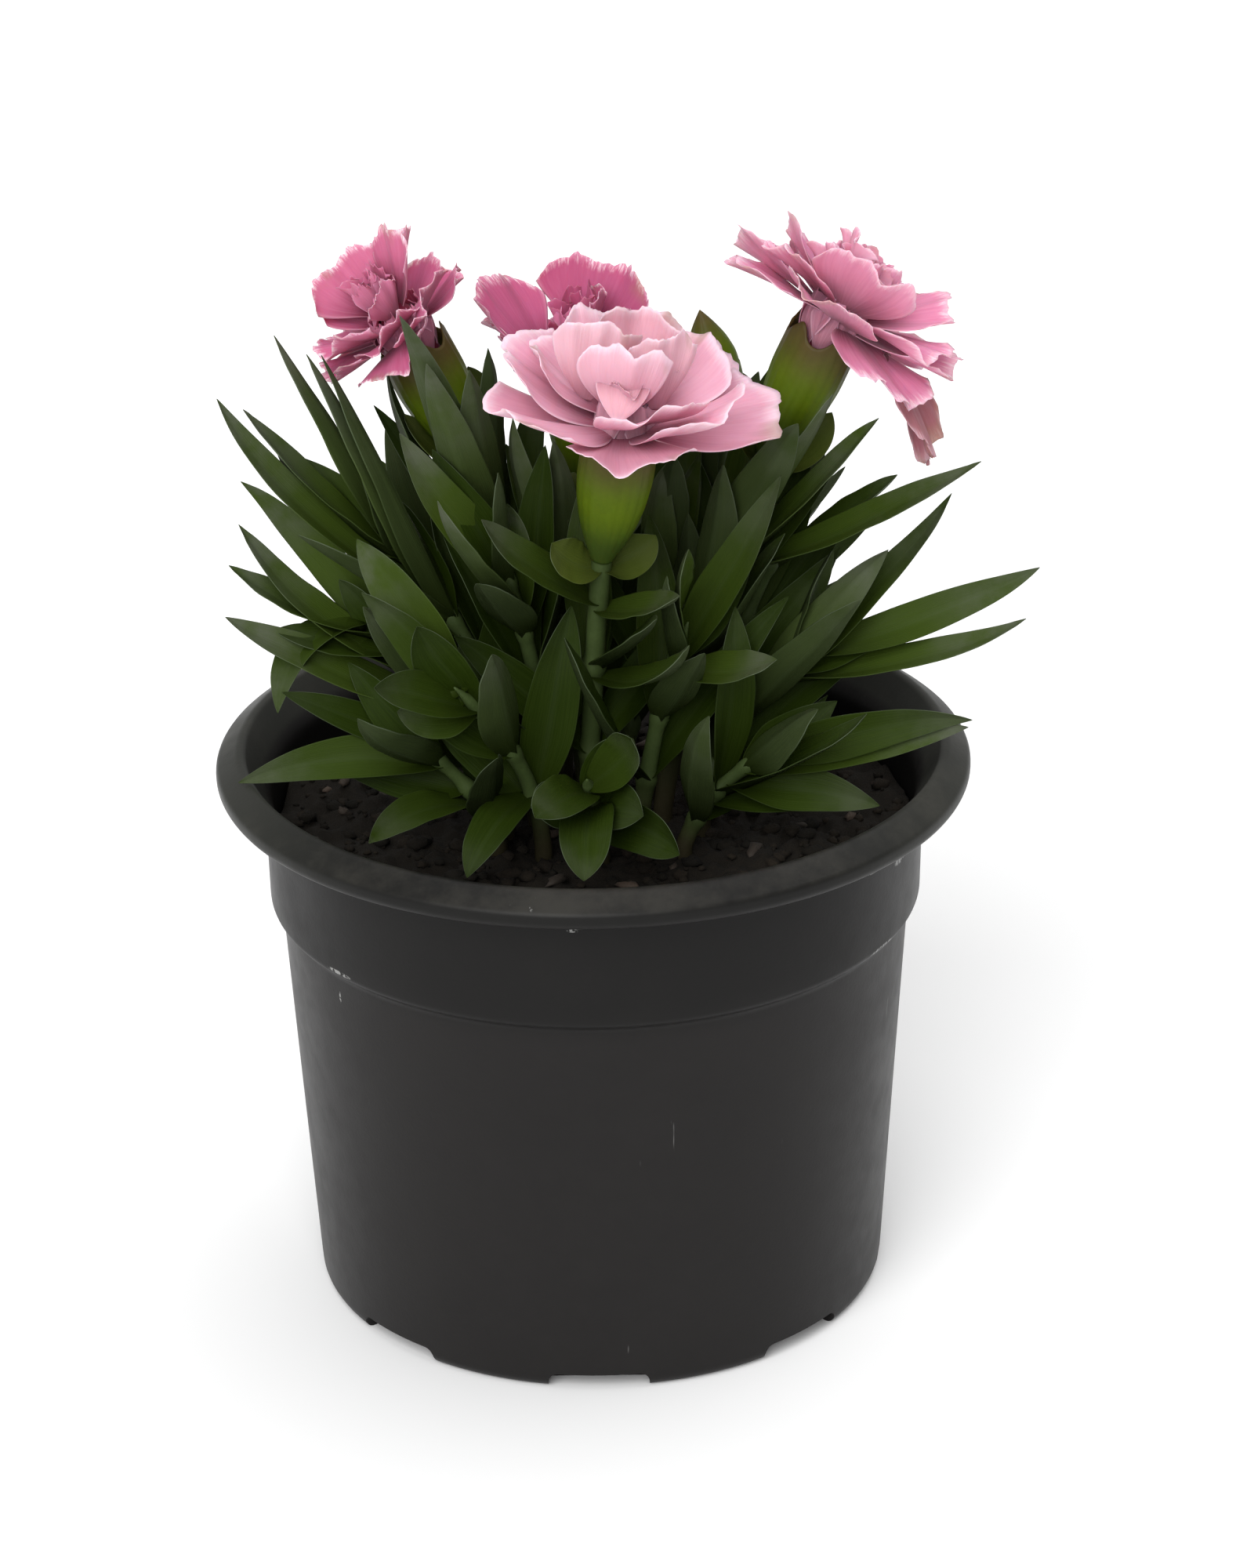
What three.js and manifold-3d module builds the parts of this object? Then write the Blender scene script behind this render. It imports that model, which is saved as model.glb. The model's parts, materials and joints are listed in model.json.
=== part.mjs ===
// A dianthus plant in bloom, standing in the round nursery pot it is sold in.
//
// Millimetres, +Z up.  The origin is the middle of the pot's underside, on the
// surface the pot stands on.  -Y is the side the front bloom leans to.
//
// The plant is a clump of shoots.  Each shoot is one solid: a stem with pairs of
// blades, every pair turned a quarter turn from the pair below it.  Five of the
// stems end in a calyx, and four of those hold a bloom, which is one solid too:
// layers of waved petals around a small core whose root sits in the calyx.
import * as THREE from "three";
import { mergeVertices } from "three/addons/utils/BufferGeometryUtils.js";
import Module from "manifold-3d";

const wasm = await Module();
wasm.setup();

// ---------------------------------------------------------------- dimensions

const GAP = 0.3; // clear space kept between two solids
const TOUCH = 0.04; // clear space kept between the outer parts of blades of one solid
const SEED = 41;

const POT_SIDES = 30;
const FLOOR_THICKNESS = 1.2;
// [radius, height] of the pot's section, from the middle of the underside out and up,
// over the sloping lip, and down the inside to the middle of the floor
const POT_SECTION = [
  [0, 0], [45, 0], [46.2, 1.2], [50.4, 66], [52.2, 67.4], [52.6, 86.4], [59.4, 87.2],
  [60, 88.2], [60, 89.8], [56.4, 92.3], [55.4, 92.3], [51.3, 85.6], [51, 68.2],
  [49, 65.4], [44.6, FLOOR_THICKNESS], [0, FLOOR_THICKNESS],
];
// Drain notches round the foot: `inner` is how far from the axis they start
const NOTCH = { count: 8, width: 16, height: 2.8, inner: 41.5, turn: -1 };

const SOIL_TOP = 79;
const SOIL_SIDES = 16;
const SOIL_LUMP = 0.9; // how far the crumbs rise and dip
const HOLE_DEPTH = 12;
const HOLE_SLACK = 0.55;

const STEM_SIDES = 4;
const STEM_RINGS = 5;
const CALYX_LENGTH = 20;
const CALYX_RADIUS = 5.8;
const CALYX_SIDES = 10;
const SOCKET = { radius: 4.4, depth: 5 };
const BRACT = { width: 6.4, drop: 2.5, arch: -0.24, taper: 5 };

// Along a blade: how far each of its sections stands from the root, 0 to 1
const BLADE_STATIONS = [0, 0.34, 0.72];
const BLADE_FOOT = 0.15; // the share of a blade that may merge with its neighbours
const BLADE_KEEL = 1.2; // thickness over the midrib
const FACE_FRONT = 1.15; // how far the blades at the sides turn their faces to the front

const PETAL_THICKNESS = 0.7;
const PETAL_ROWS = [0, 0.6, 1];
const PETAL_COLUMNS = [-1, -0.35, 0.35, 1];
const LOOSE_START = [9, 3.4]; // where a petal that hangs loose leaves the outer ring

// Each shoot: where its stem leaves the soil, the point its stem bends towards and the
// point it ends at, the stem's radius, the turn of its lowest pair of blades in degrees,
// the number of pairs, and the length and width of the largest blades.  `reach` lists the
// long blades that stand out of the clump, each as [place along the stem, x, y, z of the
// tip, arch], and `late` lists more of them, which are placed last, in gaps that are left.
// `taper` says how late the blades narrow to their tips; TAPER unless given.
// A flower shoot adds the way its calyx points and how far up and out its bracts end.
const TAPER = 3;
const SHOOTS = [
  { name: "flower_shoot_front", foot: [-1, -9], bend: [0, -10, 108], head: [2, -16, 130],
    radius: 1.8, turn: 20, pairs: 2, length: 34, width: 6.6, spread: 38, taper: 4,
    reach: [[0.8, -17, -27, 140, -0.05], [0.78, 13.6, -27, 127, -0.08],
      [0.53, 15.4, -33, 121, -0.16]],
    flower: { axis: [0.15, -0.2, 0.97], bracts: [5, 8.4] } },
  { name: "flower_shoot_middle", foot: [-5, 7], bend: [-4, 12, 105], head: [0, 18, 127],
    radius: 1.8, turn: 70, pairs: 3, length: 42, width: 7.2, spread: 30, reach: [],
    flower: { axis: [-0.05, -0.1, 0.99], bracts: [9, 6.6] } },
  { name: "flower_shoot_left", foot: [-11, 1], bend: [-11, 6, 112], head: [-18, 8, 137.5],
    radius: 1.8, turn: 35, pairs: 4, length: 46, width: 7.2, spread: 26,
    reach: [[0.8, -27, -19, 171, -0.04], [0.75, -21.5, -12, 158, -0.04],
      [0.7, -23.9, -11, 164.5, -0.04], [0.6, -32.5, 2, 153.5, -0.06]],
    flower: { axis: [-0.42, -0.08, 0.9], bracts: [15, 6.6] } },
  { name: "flower_shoot_right", foot: [11, -2], bend: [16, -3, 118], head: [28, 2, 139.2],
    radius: 1.8, turn: 10, pairs: 4, length: 46, width: 7.2, spread: 26,
    reach: [[0.7, 37.5, -9, 152.5, -0.04], [0.6, 43.8, -8, 148.5, -0.04],
      [0.62, 56.3, -12, 149.3, -0.08]],
    flower: { axis: [0.42, 0, 0.91], bracts: [12, 6.6] } },
  { name: "flower_shoot_bud", foot: [9, 9], bend: [18, 14, 112], head: [22, 20, 139],
    radius: 1.7, turn: 55, pairs: 3, length: 42, width: 7, spread: 28, reach: [],
    flower: { axis: [-0.22, 0, 0.97], bracts: [7, 6.6] } },
  { name: "leafy_shoot_left_high", foot: [-9, -5], bend: [-13, -3, 106], head: [-34, 2, 130],
    radius: 1.7, turn: 40, pairs: 4, length: 38, width: 7, spread: 32,
    reach: [[0.95, -49, 3, 158.5, -0.08], [0.7, -57.5, 0, 150, -0.12],
      [0.75, -41.5, -2, 159, -0.05], [0.85, -52.5, 4, 147.5, -0.1],
      [0.6, -53, -2, 141.5, -0.08], [0.65, -39, -4, 159.5, -0.05]] },
  { name: "leafy_shoot_left", foot: [-14, -8], bend: [-16, -8, 100], head: [-35, -6, 115],
    radius: 1.7, turn: 10, pairs: 3, length: 36, width: 7, spread: 34,
    reach: [[0.85, -54, 2, 136, -0.14], [0.7, -54.5, -5, 131.5, -0.12],
      [0.95, -55.5, -6, 125.5, -0.12], [0.55, -53.5, -10, 123.5, -0.06],
      [1, -48.5, -14, 103.5, 0.5]] },
  { name: "leafy_shoot_left_low", foot: [-15, -14], bend: [-17, -15, 90], head: [-27, -17, 99],
    radius: 1.6, turn: 80, pairs: 3, length: 32, width: 7.2, spread: 40,
    reach: [[0.8, -55.5, -16, 92.5, 0.16], [0.4, -34.8, -34, 89.5, 0.2]] },
  { name: "leafy_shoot_front_left", foot: [-8, -16], bend: [-9, -18, 98], head: [-21, -25, 112],
    radius: 1.6, turn: 25, pairs: 3, length: 34, width: 7.4, spread: 32, taper: 4,
    reach: [[0.9, -34.5, -22, 127, -0.06], [0.95, -35.4, -16, 133, -0.06],
      [0.3, -19.7, -36, 85.5, 0.2], [0.85, -29.5, -26, 110, -0.1]] },
  { name: "leafy_shoot_front", foot: [1, -18], bend: [0, -21, 90], head: [-1, -29, 98],
    radius: 1.6, turn: 40, pairs: 1, length: 18, width: 7.2, spread: 30, taper: 7,
    reach: [[0.8, -9, -42, 97.5, 0.2], [0.6, -1.7, -45, 88.5, 0.3], [0.9, 6, -36, 108, -0.2],
      [0.3, 13.5, -37, 89, 0.25], [0.45, 7.2, -36, 95, 0.2]] },
  { name: "leafy_shoot_centre_left", foot: [-6, -3], bend: [-8, -5, 108], head: [-14, -10, 128],
    radius: 1.7, turn: 50, pairs: 4, length: 36, width: 7.4, spread: 26,
    reach: [[0.7, -12, -12, 137.5, -0.04], [0.85, -28.5, -12, 148.5, -0.06],
      [0.75, -24.5, -20, 140.5, -0.06]] },
  { name: "leafy_shoot_centre_right", foot: [7, -12], bend: [9, -13, 100], head: [15, -15, 118],
    radius: 1.7, turn: 30, pairs: 3, length: 34, width: 7.4, spread: 28,
    reach: [[0.8, 29, -14, 141, -0.05], [0.9, 15, -20, 132, -0.03],
      [0.8, 28, -28, 117, -0.12]] },
  { name: "leafy_shoot_middle_left", foot: [-1, -1], bend: [-3, 2, 104], head: [-6, 6, 124],
    radius: 1.6, turn: 15, pairs: 3, length: 38, width: 7, spread: 24,
    reach: [[0.85, -12.7, 0, 145.5, -0.04]],
    late: [[0.7, -6, 2, 143, -0.04]] },
  { name: "leafy_shoot_middle_right", foot: [4, 4], bend: [8, 5, 104], head: [12, 6, 122],
    radius: 1.6, turn: 70, pairs: 3, length: 38, width: 7, spread: 24,
    reach: [[0.85, 11.5, 0, 138, -0.04], [0.75, 16.6, 8, 137, -0.04]] },
  { name: "leafy_shoot_right_low", foot: [14, -16], bend: [17, -16, 90], head: [27, -18, 97],
    radius: 1.6, turn: 60, pairs: 3, length: 32, width: 7, spread: 36,
    reach: [[0.95, 58.5, -14, 101.5, 0.06], [0.8, 58.5, -17, 98, 0.04],
      [0.65, 47, -20, 95.5, 0.06], [0.45, 44, -24, 94.5, 0.06]] },
  { name: "leafy_shoot_right", foot: [17, -7], bend: [19, -6, 98], head: [34, -4, 109],
    radius: 1.7, turn: 15, pairs: 3, length: 36, width: 6.2, spread: 32,
    reach: [[0.95, 70.5, 0, 120, -0.07], [0.8, 68.3, -6, 113, -0.08],
      [0.65, 61.3, 1, 127.5, -0.06], [0.7, 50, -8, 126.5, -0.05]] },
  { name: "leafy_shoot_right_high", foot: [18, 3], bend: [20, 3, 106], head: [31, 1, 126],
    radius: 1.7, turn: 65, pairs: 4, length: 40, width: 7, spread: 28, reach: [] },
  { name: "leafy_shoot_back_left", foot: [-14, 12], bend: [-17, 16, 100], head: [-28, 27, 120],
    radius: 1.7, turn: 30, pairs: 4, length: 38, width: 7.6, spread: 34, reach: [] },
  { name: "leafy_shoot_back", foot: [1, 18], bend: [1, 22, 104], head: [2, 33, 124],
    radius: 1.7, turn: 75, pairs: 4, length: 38, width: 7.6, spread: 34, reach: [] },
  { name: "leafy_shoot_back_right", foot: [15, 14], bend: [18, 18, 98], head: [31, 28, 116],
    radius: 1.7, turn: 20, pairs: 4, length: 38, width: 7.6, spread: 34, reach: [] },
];

// Each bloom: the shoot that carries it; the way it faces, where that isn't the way its
// calyx points, and how far that lifts it off the mouth; the turn of its first petal; its
// rings of petals from the outermost in, as [petals, length, half width, rise in degrees,
// how much more the petals at the back rise and those at the front fall]; the petals of
// its heart, as [turn, length, half width, rise, the ring they grow with, how far they
// stand aside of the axis, if at all]; and the ones that hang loose below it.
const BLOOMS = [
  { name: "bloom_front", shoot: "flower_shoot_front", turn: 12,
    rings: [[7, 24.3, 9.8, 8, -9], [6, 20, 8.4, 17, 3], [4, 15.5, 7, 38, 8]],
    heart: [[-105, 14.3, 6.3, 78, 2.7, -6], [-80, 13, 5.8, 82, 2.9, 4],
      [-95, 10.5, 4.6, -40, 6.8, -1]],
    loose: [] },
  { name: "bloom_right", shoot: "flower_shoot_right", axis: [0.64, 0.1, 0.76], lift: 1.3, turn: 40,
    rings: [[7, 22.6, 9, -3, 0], [6, 19, 8.2, 7, 0], [4, 12, 6, 20, 0]],
    heart: [[-75, 10, 5, 44, 2], [165, 10.5, 5, 44, 3], [30, 9.5, 5, 46, 3]],
    loose: [[4, 29, 6, -22], [-18, 27, 7, -16]] },
  { name: "bloom_left", shoot: "flower_shoot_left", axis: [-0.56, -0.1, 0.82], lift: 0.8, turn: 25,
    rings: [[6, 15.5, 8.2, 6, 8], [5, 13.8, 7.4, 26, 12]],
    heart: [[18, 15, 5.6, 48, 2], [112, 13.5, 8.6, 50, 2], [-60, 9, 4.4, 50, 2]],
    loose: [] },
  { name: "bloom_middle", shoot: "flower_shoot_middle", turn: 5,
    rings: [[6, 16, 8.4, 10, 8], [4, 14, 7.4, 34, 6]],
    heart: [[50, 14.5, 10.4, 50, 2], [140, 17.5, 8, 38, 2, 6], [-40, 10, 5, 56, 3]],
    loose: [] },
];

// How a blade or petal is bent when its first place is taken: swing in degrees around
// the stem, lift in degrees towards the stem, and length.
const BLADE_BENDS = [
  [0, 0, 1], [9, 0, 1], [-9, 0, 1], [0, 8, 1], [0, -8, 1], [18, 0, 1], [-18, 0, 1],
  [10, 10, 0.95], [-10, 10, 0.95], [0, 16, 0.95], [28, 5, 0.9], [-28, 5, 0.9], [0, -16, 0.9],
  [20, -10, 0.85], [-20, -10, 0.85], [38, 8, 0.85], [-38, 8, 0.85], [0, 8, 0.75],
  [0, -8, 0.7], [20, 18, 0.7], [-20, 18, 0.7], [48, 0, 0.7], [-48, 0, 0.7], [0, 24, 0.6],
  [0, 0, 0.5], [30, 0, 0.5], [-30, 0, 0.5],
];
const PETAL_BENDS = [
  [0, 0, 1], [0, 4, 1], [0, -4, 1], [7, 0, 1], [-7, 0, 1], [0, 8, 1], [7, 6, 1], [-7, 6, 1],
  [0, 13, 1], [10, 10, 0.95], [-10, 10, 0.95], [0, 20, 0.95], [0, 28, 0.95], [0, 36, 0.9],
  [0, 46, 0.85], [0, 55, 0.8],
];

// ------------------------------------------------------------------- numbers

let seedState = SEED;

/** Next number of the seeded series, 0 to 1. */
function random() {
  seedState = (Math.imul(seedState, 1664525) + 1013904223) >>> 0;
  return seedState / 4294967296;
}

const radians = (degrees) => (degrees * Math.PI) / 180;
const vector = (list) => new THREE.Vector3(...list);

/** start + sum of amount x direction over the given pairs */
function offset(start, ...steps) {
  const point = start.clone();
  steps.forEach(([amount, direction]) => point.addScaledVector(direction, amount));
  return point;
}

/** Point of the curve from a to c that bends towards b. */
function curvePoint(a, b, c, t) {
  const s = 1 - t;
  return offset(new THREE.Vector3(), [s * s, a], [2 * s * t, b], [t * t, c]);
}

/** Direction of the same curve. */
function curveDirection(a, b, c, t) {
  return offset(new THREE.Vector3(), [t - 1, a], [1 - 2 * t, b], [t, c]).normalize();
}

/** Two directions square to t and to each other: X and Y carried over by the least turn. */
function crossDirections(t) {
  const k = 1 + t.z;
  return [
    new THREE.Vector3(1 - (t.x * t.x) / k, (-t.x * t.y) / k, -t.x),
    new THREE.Vector3((-t.x * t.y) / k, 1 - (t.y * t.y) / k, -t.y),
  ];
}

// -------------------------------------------------------------------- solids

/** Closed geometry from points and triangles of point numbers. */
function closedGeometry(points, faces) {
  const geometry = new THREE.BufferGeometry();
  const positions = points.flatMap((p) => [p.x, p.y, p.z]);
  geometry.setAttribute("position", new THREE.Float32BufferAttribute(positions, 3));
  geometry.setIndex(faces.flat());
  return geometry;
}

/** Skin over rings of points, each ring counter-clockwise about the way they advance. */
function skin(rings, tip) {
  const count = rings[0].length;
  const points = rings.flat();
  const faces = [];
  const last = points.length - count;
  for (let a = 0; a < last; a += count) {
    for (let j = 0; j < count; j += 1) {
      const p = a + j;
      const q = a + ((j + 1) % count);
      if (j % 2 === 0) {
        faces.push([p, q, q + count], [p, q + count, p + count]);
      } else {
        faces.push([p, q, p + count], [q, q + count, p + count]);
      }
    }
  }
  for (let j = 1; j < count - 1; j += 1) {
    faces.push([0, j + 1, j]);
    if (!tip) {
      faces.push([last, last + j, last + j + 1]);
    }
  }
  if (tip) {
    points.push(tip);
    for (let j = 0; j < count; j += 1) {
      faces.push([last + j, last + ((j + 1) % count), points.length - 1]);
    }
  }
  return closedGeometry(points, faces);
}

/** Sheet with two faces, given as rows of points that run outwards, both split alike. */
function sheet(upper, lower) {
  const rows = upper.length;
  const columns = upper[0].length;
  const size = rows * columns;
  const at = (r, c) => r * columns + c;
  const faces = [];
  for (let r = 0; r < rows - 1; r += 1) {
    for (let c = 0; c < columns - 1; c += 1) {
      const [a, b, d, e] = [at(r, c), at(r, c + 1), at(r + 1, c), at(r + 1, c + 1)];
      faces.push([a, d, e], [a, e, b]);
      faces.push([size + a, size + e, size + d], [size + a, size + b, size + e]);
    }
  }
  const steps = (count) => Array.from({ length: count - 1 }, (unused, i) => i);
  const border = [
    ...steps(rows).map((r) => at(r, 0)),
    ...steps(columns).map((c) => at(rows - 1, c)),
    ...steps(rows).map((r) => at(rows - 1 - r, columns - 1)),
    ...steps(columns).map((c) => at(0, columns - 1 - c)),
  ];
  border.forEach((p, i) => {
    const q = border[(i + 1) % border.length];
    faces.push([p, size + p, size + q], [p, size + q, q]);
  });
  return closedGeometry([...upper.flat(), ...lower.flat()], faces);
}

/** The solid inside a closed geometry. */
function solidOf(geometry) {
  const plain = geometry.clone();
  plain.deleteAttribute("normal");
  plain.deleteAttribute("uv");
  const merged = mergeVertices(plain, 1e-4);
  return new wasm.Manifold(new wasm.Mesh({
    numProp: 3,
    vertProperties: new Float32Array(merged.attributes.position.array),
    triVerts: new Uint32Array(merged.index.array),
  }));
}

/** The geometry of a solid. */
function geometryOf(solid) {
  const mesh = solid.getMesh();
  const geometry = new THREE.BufferGeometry();
  const positions = new Float32Array(mesh.vertProperties);
  geometry.setAttribute("position", new THREE.BufferAttribute(positions, 3));
  geometry.setIndex(new THREE.BufferAttribute(new Uint32Array(mesh.triVerts), 1));
  geometry.computeVertexNormals();
  return geometry;
}

/** Pieces fused into one body; scraps that hang loose and sealed hollows are dropped. */
function fuse(pieces) {
  const whole = pieces.reduce((sum, piece) => sum.add(piece));
  return whole.decompose().reduce((a, b) => (b.volume() > a.volume() ? b : a));
}

/** Whether two solids stand at least `gap` apart. */
function clearOf(a, b, gap) {
  const [p, q] = [a.boundingBox(), b.boundingBox()];
  const apart = [0, 1, 2].some((i) => p.min[i] > q.max[i] + gap || q.min[i] > p.max[i] + gap);
  return apart || a.minGap(b, 2 * gap) >= gap;
}

// ------------------------------------------------------------- pot and soil

/** Round body from a closed or axis-to-axis section of [radius, height]. */
function turned(section, sides) {
  const points = section.map(([r, z]) => new THREE.Vector2(r, z));
  return new THREE.LatheGeometry(points, sides).rotateX(Math.PI / 2);
}

/** Plain round peg standing on z. */
function peg(x, y, z, radius, height, sides) {
  const geometry = new THREE.CylinderGeometry(radius, radius, height, sides);
  return solidOf(geometry.rotateX(Math.PI / 2).translate(x, y, z + height / 2));
}

function makePot() {
  let pot = solidOf(turned(POT_SECTION, POT_SIDES));
  for (let i = 0; i < NOTCH.count; i += 1) {
    const azimuth = radians(NOTCH.turn + (i * 360) / NOTCH.count);
    const notch = new THREE.BoxGeometry(NOTCH.width, 10, 2 * NOTCH.height);
    notch.translate(0, -NOTCH.inner - 5, 0).rotateZ(azimuth);
    pot = pot.subtract(solidOf(notch));
  }
  return pot;
}

/** Height of the crumbly soil surface at a point. */
function soilHeight(x, y) {
  const lumps = Math.sin(0.61 * x + 1.3 * Math.sin(0.23 * y)) * Math.cos(0.53 * y);
  const crumbs = Math.sin(1.37 * x - 0.7 * y) * Math.sin(0.9 * y + 0.4 * x);
  return SOIL_TOP + SOIL_LUMP * (0.7 * lumps + 0.3 * crumbs);
}

function makeSoil() {
  const floor = FLOOR_THICKNESS + GAP;
  const circle = (radius, z) => Array.from({ length: SOIL_SIDES }, (unused, j) => {
    const angle = (2 * Math.PI * j) / SOIL_SIDES;
    const [x, y] = [radius * Math.cos(angle), radius * Math.sin(angle)];
    return new THREE.Vector3(x, y, z ?? soilHeight(x, y));
  });
  const rings = [circle(12, floor), circle(43.8, floor), circle(48.2, 65), circle(50.3, 69.2)];
  [50.3, 40, 27, 13].forEach((radius) => rings.push(circle(radius)));
  let soil = solidOf(skin(rings, new THREE.Vector3(0, 0, soilHeight(0, 0))));
  SHOOTS.forEach(({ foot, radius }) => {
    soil = soil.subtract(
      peg(...foot, SOIL_TOP - HOLE_DEPTH, radius + HOLE_SLACK, 2 * HOLE_DEPTH, 6));
  });
  return soil;
}

// -------------------------------------------------------------- stem and leaf

/** Points of a shoot's stem: where it starts to bend, what it bends towards, its end. */
function stemCurve(shoot) {
  const start = new THREE.Vector3(...shoot.foot, SOIL_TOP + 1.5);
  return [start, vector(shoot.bend), vector(shoot.head)];
}

function stemSolid(shoot) {
  const curve = stemCurve(shoot);
  const ring = (centre, tangent, radius) => {
    const [u, v] = crossDirections(tangent);
    return Array.from({ length: STEM_SIDES }, (unused, j) => {
      const angle = radians(shoot.turn) + (2 * Math.PI * (j + 0.5)) / STEM_SIDES;
      return offset(centre, [radius * Math.cos(angle), u], [radius * Math.sin(angle), v]);
    });
  };
  const up = new THREE.Vector3(0, 0, 1);
  const rings = [offset(curve[0], [GAP - HOLE_DEPTH - 1.5, up]), curve[0]]
    .map((centre) => ring(centre, up, shoot.radius));
  for (let i = 1; i < STEM_RINGS; i += 1) {
    const t = i / (STEM_RINGS - 1);
    const radius = shoot.radius * (shoot.flower ? 1 : 1 - 0.35 * t);
    rings.push(ring(curvePoint(...curve, t), curveDirection(...curve, t), radius));
  }
  return solidOf(skin(rings));
}

/** Half width of a blade at t, as a share of its greatest half width. */
function bladeWidth(t, taper) {
  const root = 0.24 + 0.76 * Math.sin(Math.PI * Math.min(t / 1.2, 0.5)) ** 0.7;
  return root * (1 - t ** taper) ** 0.9;
}

/**
 * One blade and the same without its foot.  It leaves the stem axis at `root`, where the
 * stem runs along `along`, and ends at `tip`; `arch` bows it towards the stem, `sway`
 * bends it sideways, `twist` turns its face.  The section is flat above, with a keel below.
 */
function bladeSolid({ root, along, tip, width, taper, arch, sway, twist }) {
  const chord = tip.clone().sub(root);
  const length = chord.length();
  const straight = chord.clone().normalize();
  const rise = offset(along, [-along.dot(straight), straight]).normalize();
  const side = new THREE.Vector3().crossVectors(along, chord).normalize();
  const middle = offset(root, [0.5, chord], [arch * length, rise], [sway * length, side]);
  const turnAtTip = twist + FACE_FRONT * side.y;
  const section = (t) => {
    const centre = curvePoint(root, middle, tip, t);
    const forward = curveDirection(root, middle, tip, t);
    const up = new THREE.Vector3().crossVectors(forward, side).normalize();
    const across = new THREE.Vector3().crossVectors(up, forward);
    const turn = turnAtTip * Math.sqrt(t);
    const left = offset(new THREE.Vector3(), [Math.cos(turn), across], [Math.sin(turn), up]);
    const face = offset(new THREE.Vector3(), [Math.cos(turn), up], [-Math.sin(turn), across]);
    const half = (width / 2) * bladeWidth(t, taper);
    const keel = BLADE_KEEL * (1 - 0.35 * t);
    return [
      offset(centre, [half, left], [0.1 * half, face]),
      offset(centre, [-half, left], [0.1 * half, face]),
      offset(centre, [-keel, face]),
    ];
  };
  const rings = BLADE_STATIONS.map(section);
  const outer = [section(BLADE_FOOT), ...rings.slice(1)];
  return [solidOf(skin(rings, tip)), solidOf(skin(outer, tip))];
}

/** The blade as first laid out, bent by one entry of BLADE_BENDS. */
function bentBlade(blade, [swing, lift, stretch]) {
  const { root, along, tip } = blade;
  const [u, v] = crossDirections(along);
  const reach = tip.clone().sub(root);
  const azimuth = Math.atan2(reach.dot(v), reach.dot(u)) + radians(swing);
  const out = Math.hypot(reach.dot(u), reach.dot(v));
  const pitch = Math.max(Math.atan2(out, reach.dot(along)) - radians(lift), 0.12);
  const length = reach.length() * stretch;
  const outward = length * Math.sin(pitch);
  const bent = offset(root, [length * Math.cos(pitch), along],
    [outward * Math.cos(azimuth), u], [outward * Math.sin(azimuth), v]);
  return { ...blade, tip: bent };
}

/** Long blades of a shoot: the ones that stand out of the clump, unless told otherwise. */
function reachingBlades(shoot, rows = shoot.reach) {
  const curve = stemCurve(shoot);
  return rows.map(([t, x, y, z, arch]) => ({
    root: curvePoint(...curve, t),
    along: curveDirection(...curve, t),
    tip: new THREE.Vector3(x, y, z),
    width: shoot.width * (0.9 + 0.15 * random()),
    taper: shoot.taper ?? TAPER,
    arch,
    sway: 0.05 * (random() - 0.5),
    twist: 0.9 * (random() - 0.5),
  }));
}

/** The pairs of blades up a shoot: long and spreading below, short and upright on top. */
function pairedBlades(shoot) {
  const curve = stemCurve(shoot);
  const blades = [];
  for (let k = 0; k < shoot.pairs; k += 1) {
    const place = (k + 0.5) / shoot.pairs;
    const t = shoot.flower ? 0.1 + 0.62 * place : 0.12 + 0.86 * place;
    const root = curvePoint(...curve, t);
    const along = curveDirection(...curve, t);
    const [u, v] = crossDirections(along);
    for (let half = 0; half < 2; half += 1) {
      const azimuth = radians(shoot.turn + 90 * k + 180 * half + 24 * (random() - 0.5));
      const pitch = radians(shoot.spread * (1.25 - 0.55 * place) + 10 * (random() - 0.5));
      const fade = shoot.flower ? 1 - 0.25 * place : 1 - 0.5 * place * place;
      const length = shoot.length * fade * (0.88 + 0.24 * random());
      const outward = length * Math.sin(pitch);
      blades.push({
        root,
        along,
        tip: offset(root, [length * Math.cos(pitch), along],
          [outward * Math.cos(azimuth), u], [outward * Math.sin(azimuth), v]),
        width: shoot.width * (0.88 + 0.2 * random()),
        taper: shoot.taper ?? TAPER,
        arch: 0.14 * random() - 0.06,
        sway: 0.08 * (random() - 0.5),
        twist: 0.9 * (random() - 0.5),
      });
    }
  }
  return blades;
}

// ---------------------------------------------------------- calyx and bracts

/** Turns a geometry made along +Z so that it stands at `base` and points along `axis`. */
function stand(geometry, base, axis) {
  const up = new THREE.Vector3(0, 0, 1);
  geometry.applyQuaternion(new THREE.Quaternion().setFromUnitVectors(up, axis));
  return geometry.translate(base.x, base.y, base.z);
}

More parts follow.
